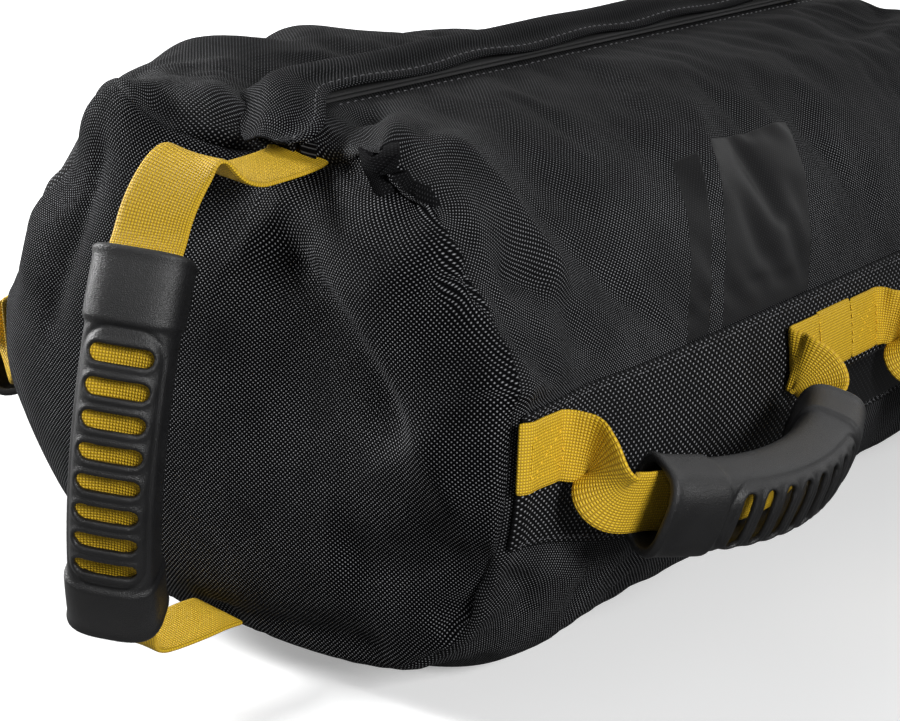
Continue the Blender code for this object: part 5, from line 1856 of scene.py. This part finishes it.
class FillersOperator(bpy.types.Operator):
    """Build the four inner bags, their sand and closures, and the seam tapes"""

    bl_idname = "sandbag.fillers"
    bl_label = "Inner bags"

    def execute(self, context):
        for k in range(1, FILLER_COUNT + 1):
            self.pillow(k)
            self.heap(k)
            self.closure(k)
        for end_name, side in (("near", -1), ("far", 1)):
            self.seam_tape(end_name, side)
        return {"FINISHED"}

    def softened(self, node, seed, depth):
        """A node's form, remeshed and rounded, with slight dents."""
        bm = bmesh.new()
        bm.from_mesh(bpy.data.objects[node].data)
        made = linked("soft", mesh_from(bm, "soft"))
        modifier(made, "REMESH", mode="VOXEL", voxel_size=FILLER_VOXEL)
        modifier(made, "SMOOTH", factor=0.5, iterations=8)
        result = evaluated_mesh(made, "soft_form")
        bpy.data.objects.remove(made, do_unlink=True)
        places, normals = read_places(result), vertex_normals(result)
        shift = Vector((seed, 0, 0))
        dents = [noise.noise(Vector(p) * DENTS_IN_METRE + shift) for p in places]
        depths = (np.array(dents) - DENT_SHIFT) * depth
        write_places(result, places + normals * depths[:, None])
        return result

    def pillow(self, k):
        """One inner bag, full and soft."""
        mesh = self.softened(f"filler_bag_{k}", k, PILLOW_DENT)
        made = object_with(mesh, f"inner_bag_{k}", "cloth", "bag")
        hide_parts(f"filler_bag_{k}")

    def heap(self, k):
        """The sand in one inner bag."""
        mesh = self.softened(f"filler_sand_{k}", k + 9, SAND_DENT)
        made = object_with(mesh, f"sand_heap_{k}", "sand", "bag")
        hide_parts(f"filler_sand_{k}")

    def closure(self, k):
        """The hook closure in one inner bag's mouth."""
        low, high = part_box(f"filler_closure_{k}")
        bm = bmesh.new()
        bmesh.ops.create_cube(bm, size=1)
        for vert in bm.verts:
            vert.co = [(a + b) / 2 + c * (b - a) for a, b, c in zip(low, high, vert.co)]
        bmesh.ops.subdivide_edges(bm, edges=bm.edges, cuts=5, use_grid_fill=True)
        for vert in bm.verts:
            vert.co.z += CLOSURE_WAVE * sin(vert.co.y * CLOSURE_TURNS)
        made = object_from(bm, f"closure_cover_{k}", "hook", "bag")
        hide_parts(f"filler_closure_{k}")

    def seam_tape(self, end_name, side):
        """The tape that binds the raw edges inside an end seam."""
        rows, columns = 160, 4
        bm, row, column = grid_mesh(rows, columns)
        girth = ZIP_GAP + (GIRTH - ZIP_GAP * 2) * row / rows
        x = side * (HALF_LENGTH - SEAM_INSET - BINDING_WIDTH * column / columns)
        set_places(bm, cover().at(x, girth, -FABRIC - BINDING_DEPTH))
        set_uv(bm, np.stack((girth, np.abs(x)), axis=-1))
        made = object_from(bm, f"seam_binding_{end_name}", "tape", "bag")
        walled(made, BINDING_THICKNESS, 0.0)
        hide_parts(f"end_seam_tape_{end_name}")


def stitches(name, runs, material_name, form, body="bag"):
    """Lines of lockstitch: short spindles of thread half sunk into the cloth.

    A run is its points and the outward direction at each.
    """
    length, pitch, radius = form
    bm = bmesh.new()
    for points, normals in runs:
        reach = reach_along(points)
        for k in range(int(reach[-1] / pitch)):
            goal = k * pitch + np.array((0, length / 2, length))
            start, middle, stop = points_at(goal, reach, points)
            up = unit(points_at(k * pitch, reach, normals))
            across = unit(np.cross(stop - start, up)) * radius
            sunk = up * radius * STITCH_SUNK_SHARE
            first, last = bm.verts.new(start - sunk), bm.verts.new(stop - sunk)
            ring = [bm.verts.new(middle + v) for v in
                    (across, up * radius, -across, -up * radius)]
            for j in range(4):
                bm.faces.new((first, ring[(j + 1) % 4], ring[j]))
                bm.faces.new((last, ring[j], ring[(j + 1) % 4]))
    bmesh.ops.recalc_face_normals(bm, faces=bm.faces)
    return object_from(bm, name, material_name, body)


def run_on(xs, girths, lift):
    """A stitching run on the shaped panel."""
    return cover().at(xs, girths, lift), cover().normal(xs, girths)


class StitchesOperator(bpy.types.Operator):
    """Build the thread that shows on the bands, the webbing, the flap and the zip"""

    bl_idname = "sandbag.stitches"
    bl_label = "Stitching"

    def execute(self, context):
        black, yellow = [], []
        xs = np.linspace(-HALF_LENGTH + SEAM_MARGIN, HALF_LENGTH - SEAM_MARGIN, 240)
        for edge in (BAND_TOP + EDGE_MARGIN, BAND_BOTTOM - EDGE_MARGIN):
            for girth in (edge, GIRTH - edge):
                black.append(run_on(xs, np.full_like(xs, girth), TOUCH + BAND_THICKNESS))
        beside_zip = xs[(xs > -ZIP_NEAR) & (xs < ZIP_FAR)]
        for girth in (GIRTH - ZIP_ROW, GIRTH - FLAP_ROW, ZIP_ROW, SECOND_ZIP_ROW):
            black.append(run_on(beside_zip, np.full_like(beside_zip, girth), STITCH_LIFT))
        stitches("panel_stitching", black, "thread", STITCH)
        on_strap = STRAP_LIFT + WEBBING_THICKNESS + STITCH_LIFT
        outer = (ROOT_OUTER + TAB_LENGTH - EDGE_MARGIN, ROOT_OUTER + BOX_GAP)
        inner = (ROOT_INNER - BOX_GAP, ROOT_INNER - BOX_END)
        for side in (-1, 1):
            for girth in (STRAP_GIRTH, GIRTH - STRAP_GIRTH):
                for start, stop in (outer, inner):
                    yellow += self.box_run(side * start, side * stop, girth, on_strap)
        stitches("webbing_stitching", yellow, "yellow_thread", WEBBING_STITCH)
        return {"FINISHED"}

    def box_run(self, start, stop, girth, lift):
        """A box of stitching with a cross in it."""
        half = WEBBING_WIDTH / 2 - EDGE_MARGIN
        corners = ((start, -half), (stop, -half), (stop, half), (start, half), (start, -half),
                   (stop, half), (start, half), (stop, -half))
        runs = []
        for k in (0, 1, 2, 3, 4, 6):
            (x0, g0), (x1, g1) = corners[k], corners[k + 1]
            t = np.linspace(0, 1, 10)
            runs.append(run_on(x0 + (x1 - x0) * t, girth + g0 + (g1 - g0) * t, lift))
        return runs


class StageOperator(bpy.types.Operator):
    """Build the floor, the lamps, the world and the camera"""

    bl_idname = "sandbag.stage"
    bl_label = "Stage"

    def execute(self, context):
        scene = context.scene
        scene.view_settings.view_transform = "Standard"
        scene.world = self.studio()
        self.floor()
        for lamp in LAMPS:
            self.lamp(*lamp)
        camera = bpy.data.cameras.new("photo_camera")
        camera.sensor_width = SENSOR_WIDTH_MM
        camera.lens = FOCAL_PIXELS / IMAGE_WIDTH * SENSOR_WIDTH_MM
        camera.clip_start = CLIP_START
        camera.clip_end = CLIP_END
        made = linked("photo_camera", camera)
        ahead, right, up = view_axes()
        turn = Matrix((right, up, -ahead)).transposed().to_4x4()
        made.matrix_world = Matrix.Translation(EYE) @ turn
        scene.camera = made
        return {"FINISHED"}

    def studio(self):
        """A world that shows white, and lights the bag with a dim grey."""
        world = bpy.data.worlds.new("studio")
        world.use_nodes = True
        tree = world.node_tree
        path = add(tree, "LightPath")
        seen = path.outputs["Is Camera Ray"]
        for ray in ("Is Glossy Ray", "Is Transmission Ray"):
            seen = add(tree, "Math", {0: path.outputs[ray], 1: seen}, operation="MAXIMUM")
        colour = add(tree, "Mix", {"Factor": seen, "A": linear("45474A"), "B": WHITE},
                     data_type="RGBA")
        fill(tree, tree.nodes["Background"], {"Color": colour})
        return world

    def floor(self):
        """A paper floor that shows white to the camera but for the bag's shadow.

        It glows for that, less beside the bag. Other rays see a duller paper.
        """
        bm = bmesh.new()
        bmesh.ops.create_grid(bm, x_segments=1, y_segments=1, size=FLOOR_HALF)
        mesh = mesh_from(bm, "floor")
        material, tree, shader = new_material("pale_paper_floor", 0.9)
        shader.inputs["Base Color"].default_value = linear("EDEDED")
        path = add(tree, "LightPath")
        place = add(tree, "TexCoord").outputs["Object"]
        away = add(tree, "VectorMath", {0: place}, operation="LENGTH")
        rise = add(tree, "MapRange", {"Value": away, "From Min": GLOW_START,
                                      "From Max": GLOW_END, "To Min": GLOW_SHARE})
        glow = add(tree, "Emission", {"Color": WHITE, "Strength": rise})
        lit = add(tree, "AddShader", {0: shader, 1: glow})
        dull = add(tree, "BsdfDiffuse", {"Color": linear("8A8A8A")})
        shown = add(tree, "MixShader", {0: path.outputs["Is Camera Ray"], 1: dull, 2: lit})
        fill(tree, tree.nodes["Material Output"], {"Surface": shown})
        mesh.materials.append(material)
        linked("floor", mesh)

    def lamp(self, name, place, size, power):
        """A square soft box that faces the bag."""
        light = bpy.data.lights.new(name, "AREA")
        light.size = size
        light.energy = power
        made = linked(name, light)
        made.location = place
        aim = Vector((0, 0, BAG_HEIGHT / 2)) - Vector(place)
        made.rotation_mode = "QUATERNION"
        made.rotation_quaternion = aim.to_track_quat("-Z", "Y")


class SandbagPanel(bpy.types.Panel):
    """Lists the sizes, the colours and the pieces of the bag"""

    bl_idname = "VIEW3D_PT_sandbag"
    bl_label = "Sandbag trainer"
    bl_space_type = "VIEW_3D"
    bl_region_type = "UI"
    bl_category = "Sandbag"

    def draw(self, context):
        for group in (context.scene.sandbag_sizes, context.scene.sandbag_colours):
            box = self.layout.box()
            for key in group.__annotations__:
                box.prop(group, key)
        for operator in OPERATORS:
            self.layout.operator(operator.bl_idname)


OPERATORS = (
    StageOperator, BagOperator, BandsOperator, WebbingOperator, GripsOperator, FlapOperator,
    ZipOperator, FillersOperator, StitchesOperator,
)
CLASSES = (SandbagSizes, SandbagColours, *OPERATORS, SandbagPanel)


def register():
    for item in CLASSES:
        bpy.utils.register_class(item)
    bpy.types.Scene.sandbag_sizes = bpy.props.PointerProperty(type=SandbagSizes)
    bpy.types.Scene.sandbag_colours = bpy.props.PointerProperty(type=SandbagColours)


def unregister():
    del bpy.types.Scene.sandbag_colours
    del bpy.types.Scene.sandbag_sizes
    for item in reversed(CLASSES):
        bpy.utils.unregister_class(item)


def main():
    register()
    for operator in OPERATORS:
        group, _, action = operator.bl_idname.partition(".")
        if getattr(getattr(bpy.ops, group), action)() != {"FINISHED"}:
            raise RuntimeError(f"{operator.bl_label} failed")
    bpy.context.view_layer.update()


if __name__ == "__main__":
    main()
